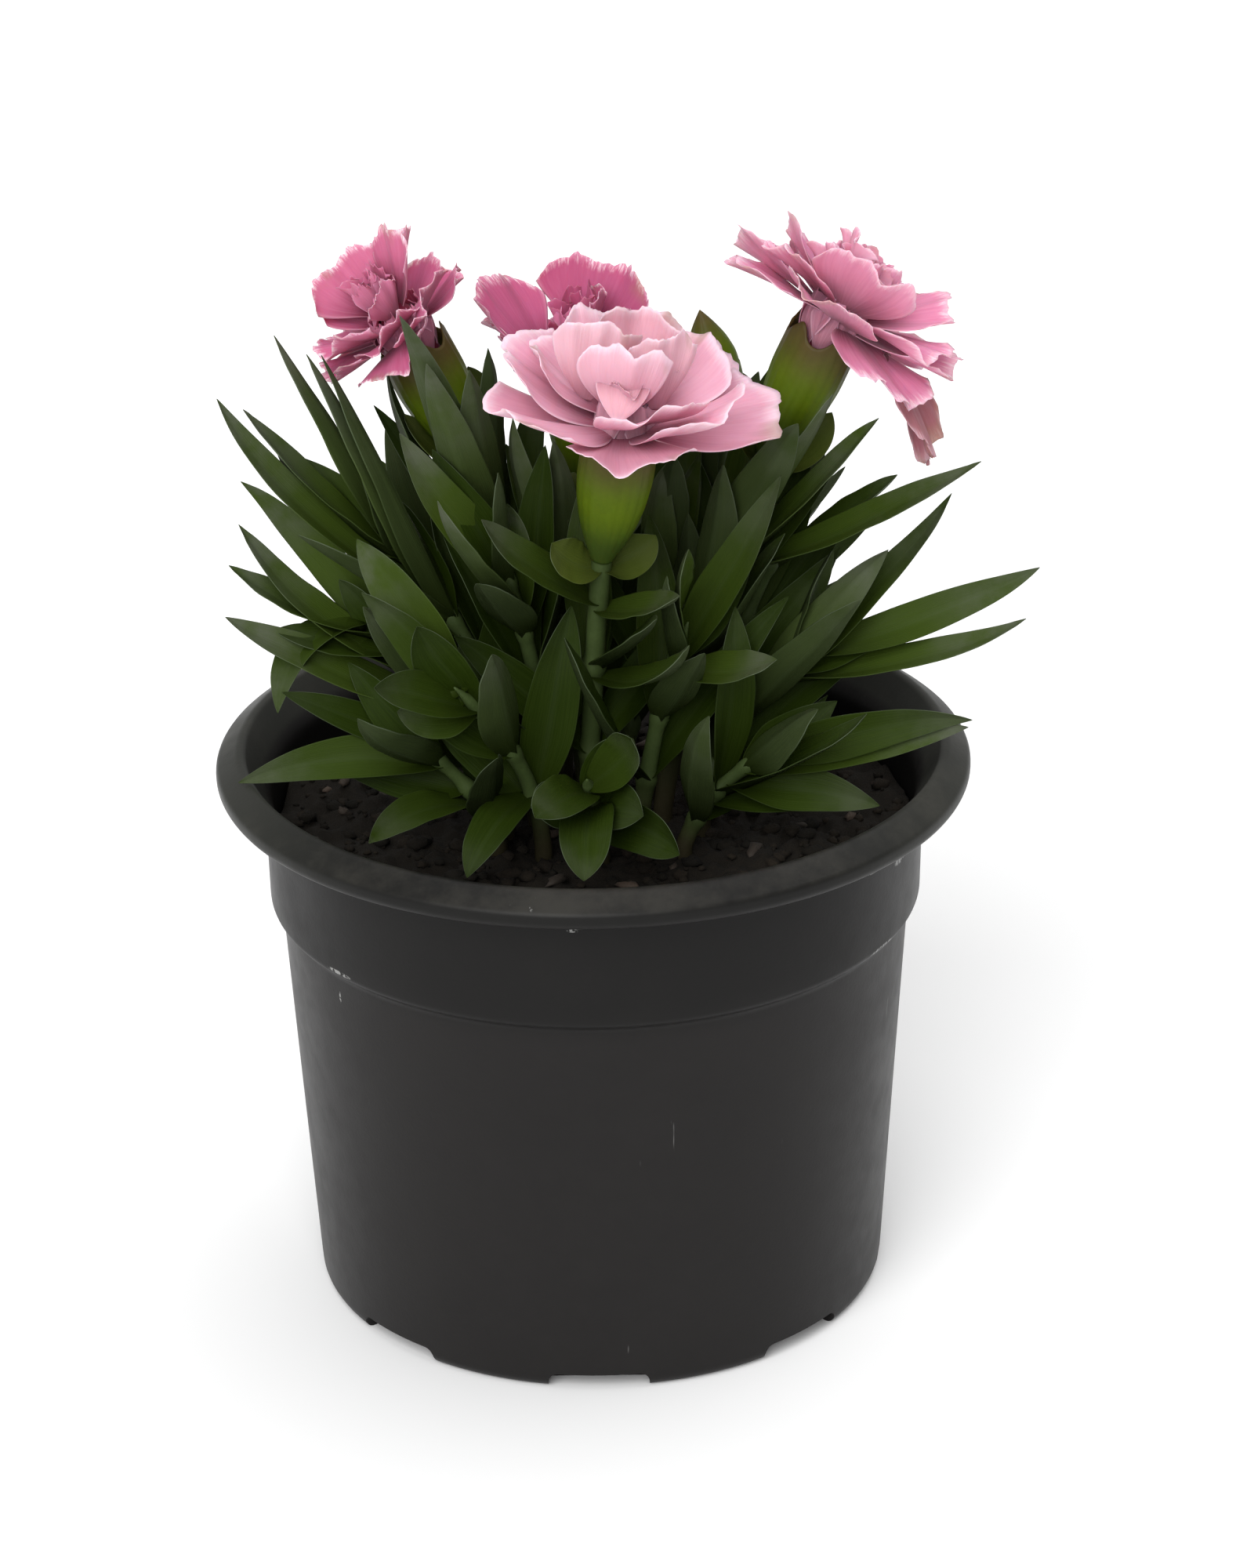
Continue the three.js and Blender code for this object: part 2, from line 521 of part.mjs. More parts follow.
/** Calyx: a tube with five teeth and a socket for the bloom, or a closed pointed bud. */
function calyxPieces(shoot) {
  const base = vector(shoot.head);
  const axis = vector(shoot.flower.axis).normalize();
  const open = BLOOMS.some((bloom) => bloom.shoot === shoot.name);
  const ring = (radius, z, tooth = 0) => Array.from({ length: CALYX_SIDES }, (unused, j) => {
    const angle = (2 * Math.PI * j) / CALYX_SIDES;
    const [x, y] = [radius * Math.cos(angle), radius * Math.sin(angle)];
    return new THREE.Vector3(x, y, z + (j % 2 === 0 ? tooth : 0));
  });
  const [r, h] = [CALYX_RADIUS, CALYX_LENGTH];
  if (!open) {
    const bud = [ring(1.6, -1), ring(3.4, 2), ring(4.3, 6), ring(4.2, 10), ring(2.6, 14.5)];
    return [solidOf(stand(skin(bud, new THREE.Vector3(0, 0, 18)), base, axis))];
  }
  const tube = [ring(1.7, -1), ring(4.3, 6), ring(r, 14), ring(r, h, 2.4),
    ring(SOCKET.radius + 0.4, h, 1.2), ring(SOCKET.radius, h - SOCKET.depth)];
  return [solidOf(stand(skin(tube), base, axis))];
}

/** The pair of short broad bracts that clasp the foot of a calyx. */
function bractBlades(shoot) {
  const axis = vector(shoot.flower.axis).normalize();
  const root = offset(vector(shoot.head), [-BRACT.drop, axis]);
  const [u, v] = crossDirections(axis);
  const [up, out] = shoot.flower.bracts;
  return [0, 180].map((half) => {
    const azimuth = radians(shoot.turn + half);
    return {
      root,
      along: axis,
      tip: offset(root, [up, axis], [out * Math.cos(azimuth), u], [out * Math.sin(azimuth), v]),
      width: BRACT.width,
      taper: BRACT.taper,
      arch: BRACT.arch,
      sway: 0,
      twist: 0,
    };
  });
}

// --------------------------------------------------------------------- bloom

/** How far the cut edge of a petal falls back at u, -1 to 1 across the petal. */
function petalCut(u, phase) {
  return 0.6 + 0.6 * Math.cos(7.5 * u + phase);
}

/**
 * One petal and the same without its claw: it rises out of the calyx, turns outwards and
 * spreads into a fan.  rho and z are the midline's distance from the bloom's axis and its
 * height over the mouth: it leaves from `start` and climbs at `rise` from the height `seat`.
 */
function petalSolid({ mouth, axis, azimuth, start, seat, tilt, length, half, rise, phase }) {
  const [u0, v0] = crossDirections(axis);
  const radial = offset(new THREE.Vector3(), [Math.cos(azimuth), u0], [Math.sin(azimuth), v0]);
  const around = offset(new THREE.Vector3(), [-Math.sin(azimuth), u0], [Math.cos(azimuth), v0]);
  const end = [length * Math.cos(rise), seat + length * Math.sin(rise)];
  const knee = [start[0] + 1 + 3 * Math.cos(rise), start[1] + 1 + 3 * Math.sin(rise)];
  const faces = [[], []];
  PETAL_ROWS.forEach((v) => {
    const s = 1 - v;
    const rho = start[0] * s * s + 2 * s * v * knee[0] + v * v * end[0];
    const z = start[1] * s * s + 2 * s * v * knee[1] + v * v * end[1];
    const dRho = s * (knee[0] - start[0]) + v * (end[0] - knee[0]);
    const dZ = s * (knee[1] - start[1]) + v * (end[1] - knee[1]);
    const speed = Math.hypot(dRho, dZ);
    const normal = offset(new THREE.Vector3(), [-dZ / speed, radial], [dRho / speed, axis]);
    const forward = offset(new THREE.Vector3(), [dRho / speed, radial], [dZ / speed, axis]);
    const width = 1 + (half - 1) * Math.sin((Math.PI / 2) * v) ** 1.5;
    const rows = PETAL_COLUMNS.map((u) => {
      const back = v * v * (0.17 * length * u * u + petalCut(u, phase));
      const wave = v * v * (0.9 * Math.sin(4.6 * u + phase) + 1.2 * u * u) + tilt * v * u;
      return offset(mouth, [rho, radial], [z, axis], [width * u, around],
        [-back, forward], [wave, normal]);
    });
    faces[0].push(rows.map((point) => offset(point, [PETAL_THICKNESS / 2, normal])));
    faces[1].push(rows.map((point) => offset(point, [-PETAL_THICKNESS / 2, normal])));
  });
  return [faces, faces.map((face) => face.slice(1))].map((pair) => solidOf(sheet(...pair)));
}

/** Middle of a calyx's mouth, the way the calyx points and the way the bloom faces. */
function mouthOf(bloom) {
  const shoot = SHOOTS.find((each) => each.name === bloom.shoot);
  const axis = vector(shoot.flower.axis).normalize();
  const facing = bloom.axis ? vector(bloom.axis).normalize() : axis;
  return [offset(vector(shoot.head), [CALYX_LENGTH, axis]), axis, facing];
}

/** Core of a bloom: a root in the calyx's socket and a small rounded heart over it. */
function coreSolid(bloom) {
  const [mouth, axis] = mouthOf(bloom);
  const root = SOCKET.radius - GAP - 0.1;
  const section = [[0, GAP - SOCKET.depth], [root, GAP - SOCKET.depth], [root, 2],
    [4.8, 5], [3.6, 9], [0, 11]];
  return solidOf(stand(turned(section, 9), mouth, axis));
}

/** One petal as planned; the rings are counted from the outermost in. */
function plannedPetal(bloom, ring, turn, length, half, rise, aside = 0) {
  const [mouth, axis, facing] = mouthOf(bloom);
  const [u, v] = crossDirections(facing);
  const azimuth = radians(turn);
  const lifted = offset(mouth, [bloom.lift ?? 0, axis],
    [-aside * Math.sin(azimuth), u], [aside * Math.cos(azimuth), v]);
  return { mouth: lifted, axis: facing, azimuth, start: [2, 2.4 + 1.7 * ring],
    seat: 3.4 + 1.7 * ring, tilt: 1.3 + 0.4 * Math.min(ring, 3), length, half,
    rise: radians(rise), phase: 6.28 * random() };
}

/** The petals of a bloom: its heart, its rings, and the ones that hang loose. */
function petalsOf(bloom) {
  const petals = bloom.heart.map(([turn, length, half, rise, ring, aside]) =>
    plannedPetal(bloom, ring, turn, length, half, rise, aside));
  bloom.rings.forEach(([count, length, half, rise, lean], ring) => {
    for (let i = 0; i < count; i += 1) {
      const turn = bloom.turn + 31 * ring + (360 * (i + 0.3 * (random() - 0.5))) / count;
      petals.push(plannedPetal(bloom, ring, turn, length * (0.92 + 0.14 * random()),
        half * (0.9 + 0.2 * random()),
        rise + lean * Math.sin(radians(turn)) + 9 * (random() - 0.5)));
    }
  });
  bloom.loose.forEach((row) => {
    petals.push({ ...plannedPetal(bloom, 0, ...row), start: LOOSE_START });
  });
  return petals;
}

function bentPetal(petal, [swing, lift, stretch]) {
  return {
    ...petal,
    azimuth: petal.azimuth + radians(swing),
    rise: Math.min(petal.rise + radians(lift), radians(82)),
    length: petal.length * stretch,
  };
}

// ------------------------------------------------------------------ assembly

const pieces = new Map([["pot", [makePot()]], ["soil", [makeSoil()]]]);
SHOOTS.forEach((shoot) => {
  const calyx = shoot.flower ? calyxPieces(shoot) : [];
  pieces.set(shoot.name, [stemSolid(shoot), ...calyx]);
});
BLOOMS.forEach((bloom) => pieces.set(bloom.name, [coreSolid(bloom)]));
const outerParts = new Map([...pieces].map(([name]) => [name, []]));

/**
 * Adds a blade or petal to a node in the first of its bends in which it is clear of every
 * other node and its outer part is clear of the other outer parts of its own node.  With
 * `merge`, parts of one node may meet where no bend keeps them apart.  Blades may, and
 * so may the petals of a heart.
 */
function place(node, bends, make, merge) {
  const others = [...pieces].filter(([name]) => name !== node).flatMap(([, list]) => list);
  const free = bends.map(make)
    .filter(([whole]) => others.every((other) => clearOf(whole, other, GAP)));
  const apart = free.find(([, outer]) =>
    outerParts.get(node).every((other) => clearOf(outer, other, TOUCH)));
  const chosen = apart ?? (merge ? free[0] : undefined);
  if (chosen) {
    pieces.get(node).push(chosen[0]);
    outerParts.get(node).push(chosen[1]);
  }
}

BLOOMS.forEach((bloom) => {
  petalsOf(bloom).forEach((petal, index) => {
    place(bloom.name, PETAL_BENDS, (bend) => petalSolid(bentPetal(petal, bend)),
      index < bloom.heart.length);
  });
});
const lateBlades = (shoot) => reachingBlades(shoot, shoot.late ?? []);
[bractBlades, reachingBlades, pairedBlades, lateBlades].forEach((bladesOf) => {
  const clump = SHOOTS.filter((shoot) => shoot.flower || bladesOf !== bractBlades)
    .map((shoot) => [shoot.name, bladesOf(shoot)]);
  const rounds = Math.max(...clump.map(([, blades]) => blades.length));
  for (let i = 0; i < rounds; i += 1) {
    clump.filter(([, blades]) => i < blades.length).forEach(([name, blades]) => {
      place(name, BLADE_BENDS, (bend) => bladeSolid(bentBlade(blades[i], bend)), true);
    });
  }
});

const LOOKS = {
  pot: ["#2b2929", 0.55],
  soil: ["#1f1814", 0.95],
  flower_shoot: ["#3d5a2c", 0.5],
  leafy_shoot: ["#34492f", 0.5],
  bloom: ["#d98bb0", 0.6],
};

const dianthus = new THREE.Group();
pieces.forEach((list, name) => {
  const look = Object.keys(LOOKS).find((key) => name.startsWith(key));
  const [color, roughness] = LOOKS[look];
  const material = new THREE.MeshStandardMaterial({ color, roughness, metalness: 0 });
  const mesh = new THREE.Mesh(geometryOf(fuse(list)), material);
  mesh.name = name;
  dianthus.add(mesh);
});

export default dianthus;
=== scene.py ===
# %% [markdown]
# # A dianthus in its nursery pot
#
# A young dianthus is a clump of upright shoots.  Every shoot carries narrow leaves in pairs,
# each pair a quarter turn from the one below, and the tallest shoots end in a green tube, the
# calyx, that holds a ruffled bloom.  The pot is one piece of thin black plastic.
#
# The solid model gives every piece its place and main form.  This script loads it, finds in it
# where each leaf and petal stands, and grows a finer one there: thin, waved, with a rounded
# edge.  Lengths are worked out in millimetres and turned into metres once.

# %% Load the solid model
import json
import math

import bpy
import numpy as np
from mathutils import Matrix, Vector

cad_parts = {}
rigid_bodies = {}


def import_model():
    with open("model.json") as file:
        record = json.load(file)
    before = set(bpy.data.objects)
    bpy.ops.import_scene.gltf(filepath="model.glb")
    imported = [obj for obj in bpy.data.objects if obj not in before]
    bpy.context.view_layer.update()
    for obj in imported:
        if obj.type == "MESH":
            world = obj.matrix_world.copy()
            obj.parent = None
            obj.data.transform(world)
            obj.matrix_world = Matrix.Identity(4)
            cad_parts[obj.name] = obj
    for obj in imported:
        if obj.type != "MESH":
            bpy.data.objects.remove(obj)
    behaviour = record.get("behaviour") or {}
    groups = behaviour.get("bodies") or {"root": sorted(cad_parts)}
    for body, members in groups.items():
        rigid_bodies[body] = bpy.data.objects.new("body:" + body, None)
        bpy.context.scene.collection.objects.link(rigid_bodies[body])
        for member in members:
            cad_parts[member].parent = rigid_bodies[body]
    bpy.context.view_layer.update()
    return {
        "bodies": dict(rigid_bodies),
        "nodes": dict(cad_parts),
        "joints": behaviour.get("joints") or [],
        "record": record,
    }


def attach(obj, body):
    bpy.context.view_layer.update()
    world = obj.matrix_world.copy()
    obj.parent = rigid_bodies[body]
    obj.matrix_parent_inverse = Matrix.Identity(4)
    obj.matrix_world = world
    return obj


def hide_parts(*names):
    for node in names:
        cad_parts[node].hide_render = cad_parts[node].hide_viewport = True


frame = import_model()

NODES = frame["nodes"]
MM = 0.001
print(len(NODES), "solids loaded")

# %% [markdown]
# ## The camera, the floor and the light
#
# The camera looks down a little, with a long lens, so that the pot keeps nearly straight sides.
# Its place is worked out from its height above level and its distance; then it is turned by
# three small angles.  The light is that of a bright room: a wide soft sun from the front left, a
# second one from above and behind, and a dim even glow.  The wider a sun, the softer its shadow.
# Most light comes from above, so the plant grows dark between its leaves.

# %% Camera
CAMERA_ELEVATION = math.radians(26.4)
CAMERA_DISTANCE = 800
CAMERA_TARGET = 50          # height of the point it is turned about
CAMERA_PAN, CAMERA_TILT, CAMERA_ROLL = (math.radians(a) for a in (0.39, 2.23, -0.84))
CAMERA_LENS = 113.1


def camera_matrix():
    """The camera's place and turn: right, up and back as columns, then where it stands."""
    rise, level = math.sin(CAMERA_ELEVATION), math.cos(CAMERA_ELEVATION)
    place = Vector((0, -CAMERA_DISTANCE * level, CAMERA_TARGET + CAMERA_DISTANCE * rise))
    right, up = Vector((1, 0, 0)), Vector((0, rise, level))
    forward = Vector((0, level, -rise))
    forward += math.tan(CAMERA_PAN) * right + math.tan(CAMERA_TILT) * up
    forward.normalize()
    right = forward.cross(Vector((0, 0, 1))).normalized()
    up = right.cross(forward)
    c, s = math.cos(CAMERA_ROLL), math.sin(CAMERA_ROLL)
    right, up = c * right + s * up, c * up - s * right
    turn = Matrix((right, up, -forward)).transposed().to_4x4()
    return Matrix.Translation(place * MM) @ turn


lens = bpy.data.cameras.new("camera")
lens.lens = CAMERA_LENS
lens.clip_start = 0.01
camera = bpy.data.objects.new("camera", lens)
camera.matrix_world = camera_matrix()
bpy.context.scene.collection.objects.link(camera)
bpy.context.scene.camera = camera
print("camera at", tuple(round(x, 3) for x in camera.location))

# %% Floor and light
FLOOR_SIZE = 60.0           # metres; only very low views show its far edge
SUNS = [                    # name, where it stands seen from the plant, its width in degrees
    ("front sun", (-0.3, -1.0, 0.75), 50, 3.0),             # and its strength in W/m2
    ("top sun", (0.3, 0.4, 1.6), 70, 1.4),
]
GLOW = 0.36                 # strength of the even light


def add_floor():
    """A square of pale sheet, level with the underside of the pot."""
    half = FLOOR_SIZE / 2
    mesh = bpy.data.meshes.new("floor")
    corners = [(-half, -half, 0), (half, -half, 0), (half, half, 0), (-half, half, 0)]
    mesh.from_pydata(corners, [], [(0, 1, 2, 3)])
    floor = bpy.data.objects.new("floor", mesh)
    bpy.context.scene.collection.objects.link(floor)
    material = bpy.data.materials.new("pale sheet")
    material.use_nodes = True
    sheet = material.node_tree.nodes["Principled BSDF"]
    sheet.inputs["Base Color"].default_value = (0.94, 0.94, 0.94, 1)
    sheet.inputs["Roughness"].default_value = 0.9
    sheet.inputs["Specular IOR Level"].default_value = 0.1
    mesh.materials.append(material)


def add_sun(name, place, width, strength):
    """A sun in the direction of `place`; its width softens the edges of the shadows."""
    light = bpy.data.lights.new(name, "SUN")
    light.angle = math.radians(width)
    light.energy = strength
    sun = bpy.data.objects.new(name, light)
    sun.location = place
    sun.rotation_euler = (-Vector(place)).to_track_quat("-Z", "Y").to_euler()
    bpy.context.scene.collection.objects.link(sun)


add_floor()
for sun in SUNS:
    add_sun(*sun)
world = bpy.data.worlds.new("room")
world.use_nodes = True
world.node_tree.nodes["Background"].inputs["Color"].default_value = (1, 1, 1, 1)
world.node_tree.nodes["Background"].inputs["Strength"].default_value = GLOW
bpy.context.scene.world = world
bpy.context.scene.view_settings.view_transform = "Standard"
print(len(SUNS), "suns")

# %% [markdown]
# ## Skins over rings
#
# Nearly everything here is one shape: a closed ring of points that travels along a line and
# changes as it goes.  A stem's ring is round, a leaf's is flat with a dip over the midrib, and a
# petal's is so wide and thin that it is a sheet.  So one function makes the faces for all of
# them.  Each point also carries numbers that the finishes read: how far along the piece it is,
# how far across, and a number that every leaf or petal draws for itself, which also carries
# painted light: it is lower for leaves low in or inside the clump and higher for inner petals.

# %% Faces over rings
MARKS = ("along", "across", "tint", "edge")


def ring_faces(rings, size):
    """Quads between neighbouring rings, and strips that zip the first and last ring shut.

    Point j of ring i has the number i * size + j.  A side face joins points j and j + 1 of one
    ring with the same two of the next.  A closing strip joins j and j + 1 with the points that
    lie opposite them, size - 1 - j and size - 2 - j.
    """
    i, j = np.meshgrid(np.arange(rings - 1), np.arange(size), indexing="ij")
    a, b = i * size + j, i * size + (j + 1) % size
    sides = np.stack([a, b, b + size, a + size], -1).reshape(-1, 4)
    k = np.arange(size // 2 - 1)
    strip = np.stack([k, size - 1 - k, size - 2 - k, k + 1], -1)
    last = (rings - 1) * size
    return np.concatenate([sides, strip, strip[:, ::-1] + last])


def enclosed_volume(points, faces):
    """Signed volume inside quads: a sixth of the sum of corner products of their triangles."""
    a, b, c, d = (points[faces[:, k]] for k in range(4))
    return (np.einsum("ij,ij->", a, np.cross(b, c)) + np.einsum("ij,ij->", a, np.cross(c, d))) / 6


def skin(points, material=0, **marks):
    """One closed part: an array (rings, points of a ring, xyz) in mm, and its marks."""
    rings, size, _ = points.shape
    flat = points.reshape(-1, 3)
    faces = ring_faces(rings, size)
    if enclosed_volume(flat, faces) < 0:
        faces = faces[:, ::-1]
    values = {}
    for mark in MARKS:
        values[mark] = np.broadcast_to(marks.get(mark, 0.0), (rings, size)).reshape(-1)
    return {"points": flat, "faces": faces, "material": material, "marks": values}


print(len(ring_faces(3, 8)), "faces over three rings of eight points")

# %% Sheets, turns and pieces
def two_faced(over, under, across, material=0, **marks):
    """The skin of a sheet: its rings run over the upper face and back along the lower one."""
    return skin(np.concatenate([over, under[:, ::-1]], 1), material,
                across=np.concatenate([across, across[:, ::-1]], 1),
                edge=np.concatenate([0 * across, 0 * across + 1], 1), **marks)


def full_turn(count):
    """Angles that go once round, in a row."""
    return np.linspace(0, 2 * np.pi, count, endpoint=False)[None]


def joined(name, parts):
    """An object made of several parts, in metres."""
    start = np.cumsum([0] + [len(part["points"]) for part in parts])
    points = np.concatenate([part["points"] for part in parts]) * MM
    faces = np.concatenate([part["faces"] + s for part, s in zip(parts, start)])
    mesh = bpy.data.meshes.new(name)
    mesh.from_pydata(points.tolist(), [], faces.tolist())
    made = bpy.data.objects.new(name, mesh)
    bpy.context.scene.collection.objects.link(made)
    return made


def add_piece(name, parts, materials, replaced):
    """Joins parts into one object that stands for a solid of the model and rides on its body."""
    piece = joined(name, parts)
    mesh = piece.data
    index = np.concatenate([np.full(len(p["faces"]), p["material"], np.int32) for p in parts])
    mesh.polygons.foreach_set("material_index", index)
    mesh.polygons.foreach_set("use_smooth", np.ones(len(index), bool))
    for mark in MARKS:
        values = np.concatenate([part["marks"][mark] for part in parts]).astype(np.float32)
        mesh.attributes.new(mark, "FLOAT", "POINT").data.foreach_set("value", values)
    for material in materials:
        mesh.materials.append(material)
    mesh.update()
    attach(piece, "root")
    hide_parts(replaced)
    return piece


print("round in four steps:", full_turn(4).round(2))

# %% [markdown]
# ## Unevenness without chance
#
# Soil, petals and leaves are never even, yet a second run has to give the same plant.  So all
# unevenness comes from a seeded series and from noise whose value at each grid corner is a fixed
# scramble of the corner's numbers.

# %% Seeded numbers and noise
SEED = 41                   # of the solid model's plan
SOIL_SEED, LEAF_SEED, PETAL_SEED = 7, 11, 23


def seeded_series(seed):
    """Endless numbers from 0 to 1: each state is 1664525 x the last + 1013904223, mod 2^32."""
    state = seed
    while True:
        state = (state * 1664525 + 1013904223) % 2**32
        yield state / 2**32


def corner_value(i, j, salt):
    """Number from 0 to 1 for a grid corner: the fraction of a large sine of its numbers."""
    scrambled = np.sin(i * 127.1 + j * 311.7 + salt * 74.7) * 43758.5453
    return scrambled - np.floor(scrambled)


def noise(x, y, size, salt=0):
    """Smooth noise from -1 to 1: corner values blended by 3s^2 - 2s^3 inside each square."""
    x, y = np.asarray(x) / size, np.asarray(y) / size
    i, j = np.floor(x), np.floor(y)
    s, t = x - i, y - j
    s, t = s * s * (3 - 2 * s), t * t * (3 - 2 * t)
    low = corner_value(i, j, salt) * (1 - s) + corner_value(i + 1, j, salt) * s
    high = corner_value(i, j + 1, salt) * (1 - s) + corner_value(i + 1, j + 1, salt) * s
    return 2 * (low * (1 - t) + high * t) - 1


print("noise at one point:", round(float(noise(0.3, 0.7, 1)), 3))

# %% [markdown]
# ## Finishes made of nodes
#
# A finish is a Principled shader with a few nodes in front of it.  An effect that several finishes
# share, here the fine mottling, is a node group with its own sockets.

# %% Helpers for nodes
def new_material(name, **inputs):
    """A material, its node tree and its Principled shader with plain values set."""
    material = bpy.data.materials.new(name)
    material.use_nodes = True
    shader = material.node_tree.nodes["Principled BSDF"]
    for socket, value in inputs.items():
        shader.inputs[socket.replace("_", " ")].default_value = value
    return material, material.node_tree, shader


def feed(tree, socket, value):
    """Joins a socket to another one, or sets it to a number, a vector or a colour."""
    if isinstance(value, bpy.types.NodeSocket):
        tree.links.new(value, socket)
    else:
        socket.default_value = (*value, 1) if socket.type == "RGBA" else value


def add_node(tree, kind, inputs=(), **settings):
    """Adds a node, sets it up, feeds its inputs by name or number, and gives its outputs."""
    node = tree.nodes.new(f"ShaderNode{kind}")
    for setting, value in settings.items():
        setattr(node, setting, value)
    for socket, value in dict(inputs).items():
        feed(tree, node.inputs[socket], value)
    return node.outputs


def math_node(tree, operation, *operands):
    """A Math node; each operand is a number or a socket."""
    return add_node(tree, "Math", enumerate(operands), operation=operation)[0]


def product(tree, first, second):
    """Two numbers or sockets multiplied."""
    return math_node(tree, "MULTIPLY", first, second)


def layered(tree, colour, *layers):
    """A colour with others mixed over it in turn: each layer is an amount and a colour."""
    for amount, shade in layers:
        colour = add_node(tree, "Mix", {0: amount, 6: colour, 7: shade}, data_type="RGBA")[2]
    return colour


def ramp(tree, value, low, high, start=0.0, end=1.0):
    """A number mapped smoothly from the range low..high to start..end."""
    return add_node(tree, "MapRange", enumerate((value, low, high, start, end)),
                    interpolation_type="SMOOTHSTEP")[0]


def noise_node(tree, scale, detail=4.0, roughness=0.55, stretch=(1, 1, 1), vector=None):
    """Noise on Object coordinates, or on another vector, stretched by a Mapping node."""
    if vector is None:
        vector = add_node(tree, "TexCoord")["Object"]
    mapped = add_node(tree, "Mapping", {"Vector": vector, "Scale": stretch})[0]
    return add_node(tree, "TexNoise", {"Vector": mapped, "Scale": scale, "Detail": detail,
                                       "Roughness": roughness})["Fac"]


def mark_of(tree, name):
    """The value of one of the marks that every point carries."""
    return add_node(tree, "Attribute", attribute_name=name)["Fac"]


def mark_noise(tree, marks, scales, detail, roughness):
    """Noise that follows the surface: its vector is three marks, each times its own scale."""
    place = enumerate(product(tree, mark, scale) for mark, scale in zip(marks, scales))
    vector = add_node(tree, "CombineXYZ", place)[0]
    return noise_node(tree, 1.0, detail, roughness, vector=vector)


def surface(tree, shader, colour, height, distance, strength):
    """Gives a shader its colour and a bump; the distance is in metres."""
    feed(tree, shader.inputs["Base Color"], colour)
    bump = add_node(tree, "Bump", {"Height": height, "Distance": distance, "Strength": strength})
    feed(tree, shader.inputs["Normal"], bump[0])


print("helpers ready for colours, numbers, noise and bumps")

# %% A group for mottling, and plain finishes with it
def new_group(name, inputs, outputs):
    """An empty node group with named sockets: name and kind, and a first value for inputs."""
    group = bpy.data.node_groups.new(name, "ShaderNodeTree")
    for socket, kind, *values in inputs:
        made = group.interface.new_socket(socket, in_out="INPUT", socket_type=f"NodeSocket{kind}")
        if values:
            made.default_value = values[0]
    for socket, kind in outputs:
        group.interface.new_socket(socket, in_out="OUTPUT", socket_type=f"NodeSocket{kind}")
    given, result = (group.nodes.new(f"NodeGroup{end}") for end in ("Input", "Output"))
    return group, given.outputs, result.inputs


def make_mottle():
    """Noise of two sizes, mixed, that shifts a colour darker and lighter."""
    group, given, result = new_group(
        "mottle", [("Colour", "Color"), ("Scale", "Float", 200.0), ("Amount", "Float", 0.2)],
        [("Colour", "Color"), ("Mask", "Float")])
    place = add_node(group, "TexCoord")["Object"]
    broad, fine = (
        add_node(group, "TexNoise", {"Vector": place, "Detail": 3.0,
                                     "Scale": product(group, given["Scale"], factor)})["Fac"]
        for factor in (1.0, 5.0))
    mask = math_node(group, "MULTIPLY_ADD", broad, 0.6, product(group, fine, 0.4))
    swing = product(group, math_node(group, "SUBTRACT", mask, 0.5), given["Amount"])
    shifted = add_node(group, "VectorMath", {
        0: given["Colour"], "Scale": math_node(group, "MULTIPLY_ADD", swing, 4.0, 1.0)},
        operation="SCALE")
    feed(group, result["Colour"], shifted[0])
    feed(group, result["Mask"], mask)
    return group


MOTTLE = make_mottle()


def mottled(tree, colour, scale, amount):
    """Places the mottle group after a colour and gives its two outputs."""
    return add_node(tree, "Group", {"Colour": colour, "Scale": scale, "Amount": amount},
                    node_tree=MOTTLE)


def plain_material(name, mark, colour, layers, mottling, bump, **inputs):
    """A colour that changes with one mark, mottled in its colour and its bump.

    Each layer is a range of the mark and a colour; where the range is empty, the mark itself
    is the amount.
    """
    material, tree, shader = new_material(name, **inputs)
    value = mark_of(tree, mark)
    amounts = [ramp(tree, value, *reach) if reach else value for reach, _ in layers]
    colour = layered(tree, colour, *zip(amounts, (shade for _, shade in layers)))
    colour, mask = mottled(tree, colour, *mottling)
    surface(tree, shader, colour, mask, *bump)
    return material


print("group ready:", MOTTLE.name)

# %% [markdown]
# ## The pot
#
# The pot is drawn from a warm plastic sheet, so its wall is thin and every corner is rounded.
# From the foot up there is a tapering body, a small ledge, a collar and a lip that flares out,
# slopes up and turns in.  Its section is a list of corners.  Each corner is swapped for a short
# curve, and the section is turned round the axis.

# %% Section of the pot
POT_SECTION = [             # radius, height and how far the corner's curve reaches
    (41, 0, 1), (45, 0, 0.9), (46.2, 1.2, 0.9), (50.4, 66, 0.8), (52.2, 67.4, 0.7),
    (52.6, 86.4, 1.4), (59.4, 87.2, 0.6), (60, 88.2, 0.5), (60, 89.8, 0.7),
    (56.4, 92.3, 0.7), (55.4, 92.3, 0.6), (51.3, 85.6, 1.5), (51, 68.2, 0.8),
    (49, 65.4, 0.8), (44.6, 1.2, 0.9), (41, 1.2, 1),
]
POT_SEGMENTS = 192
CORNER_POINTS = 5
WALL_STEP = 3.0             # longest step up the wall, mm


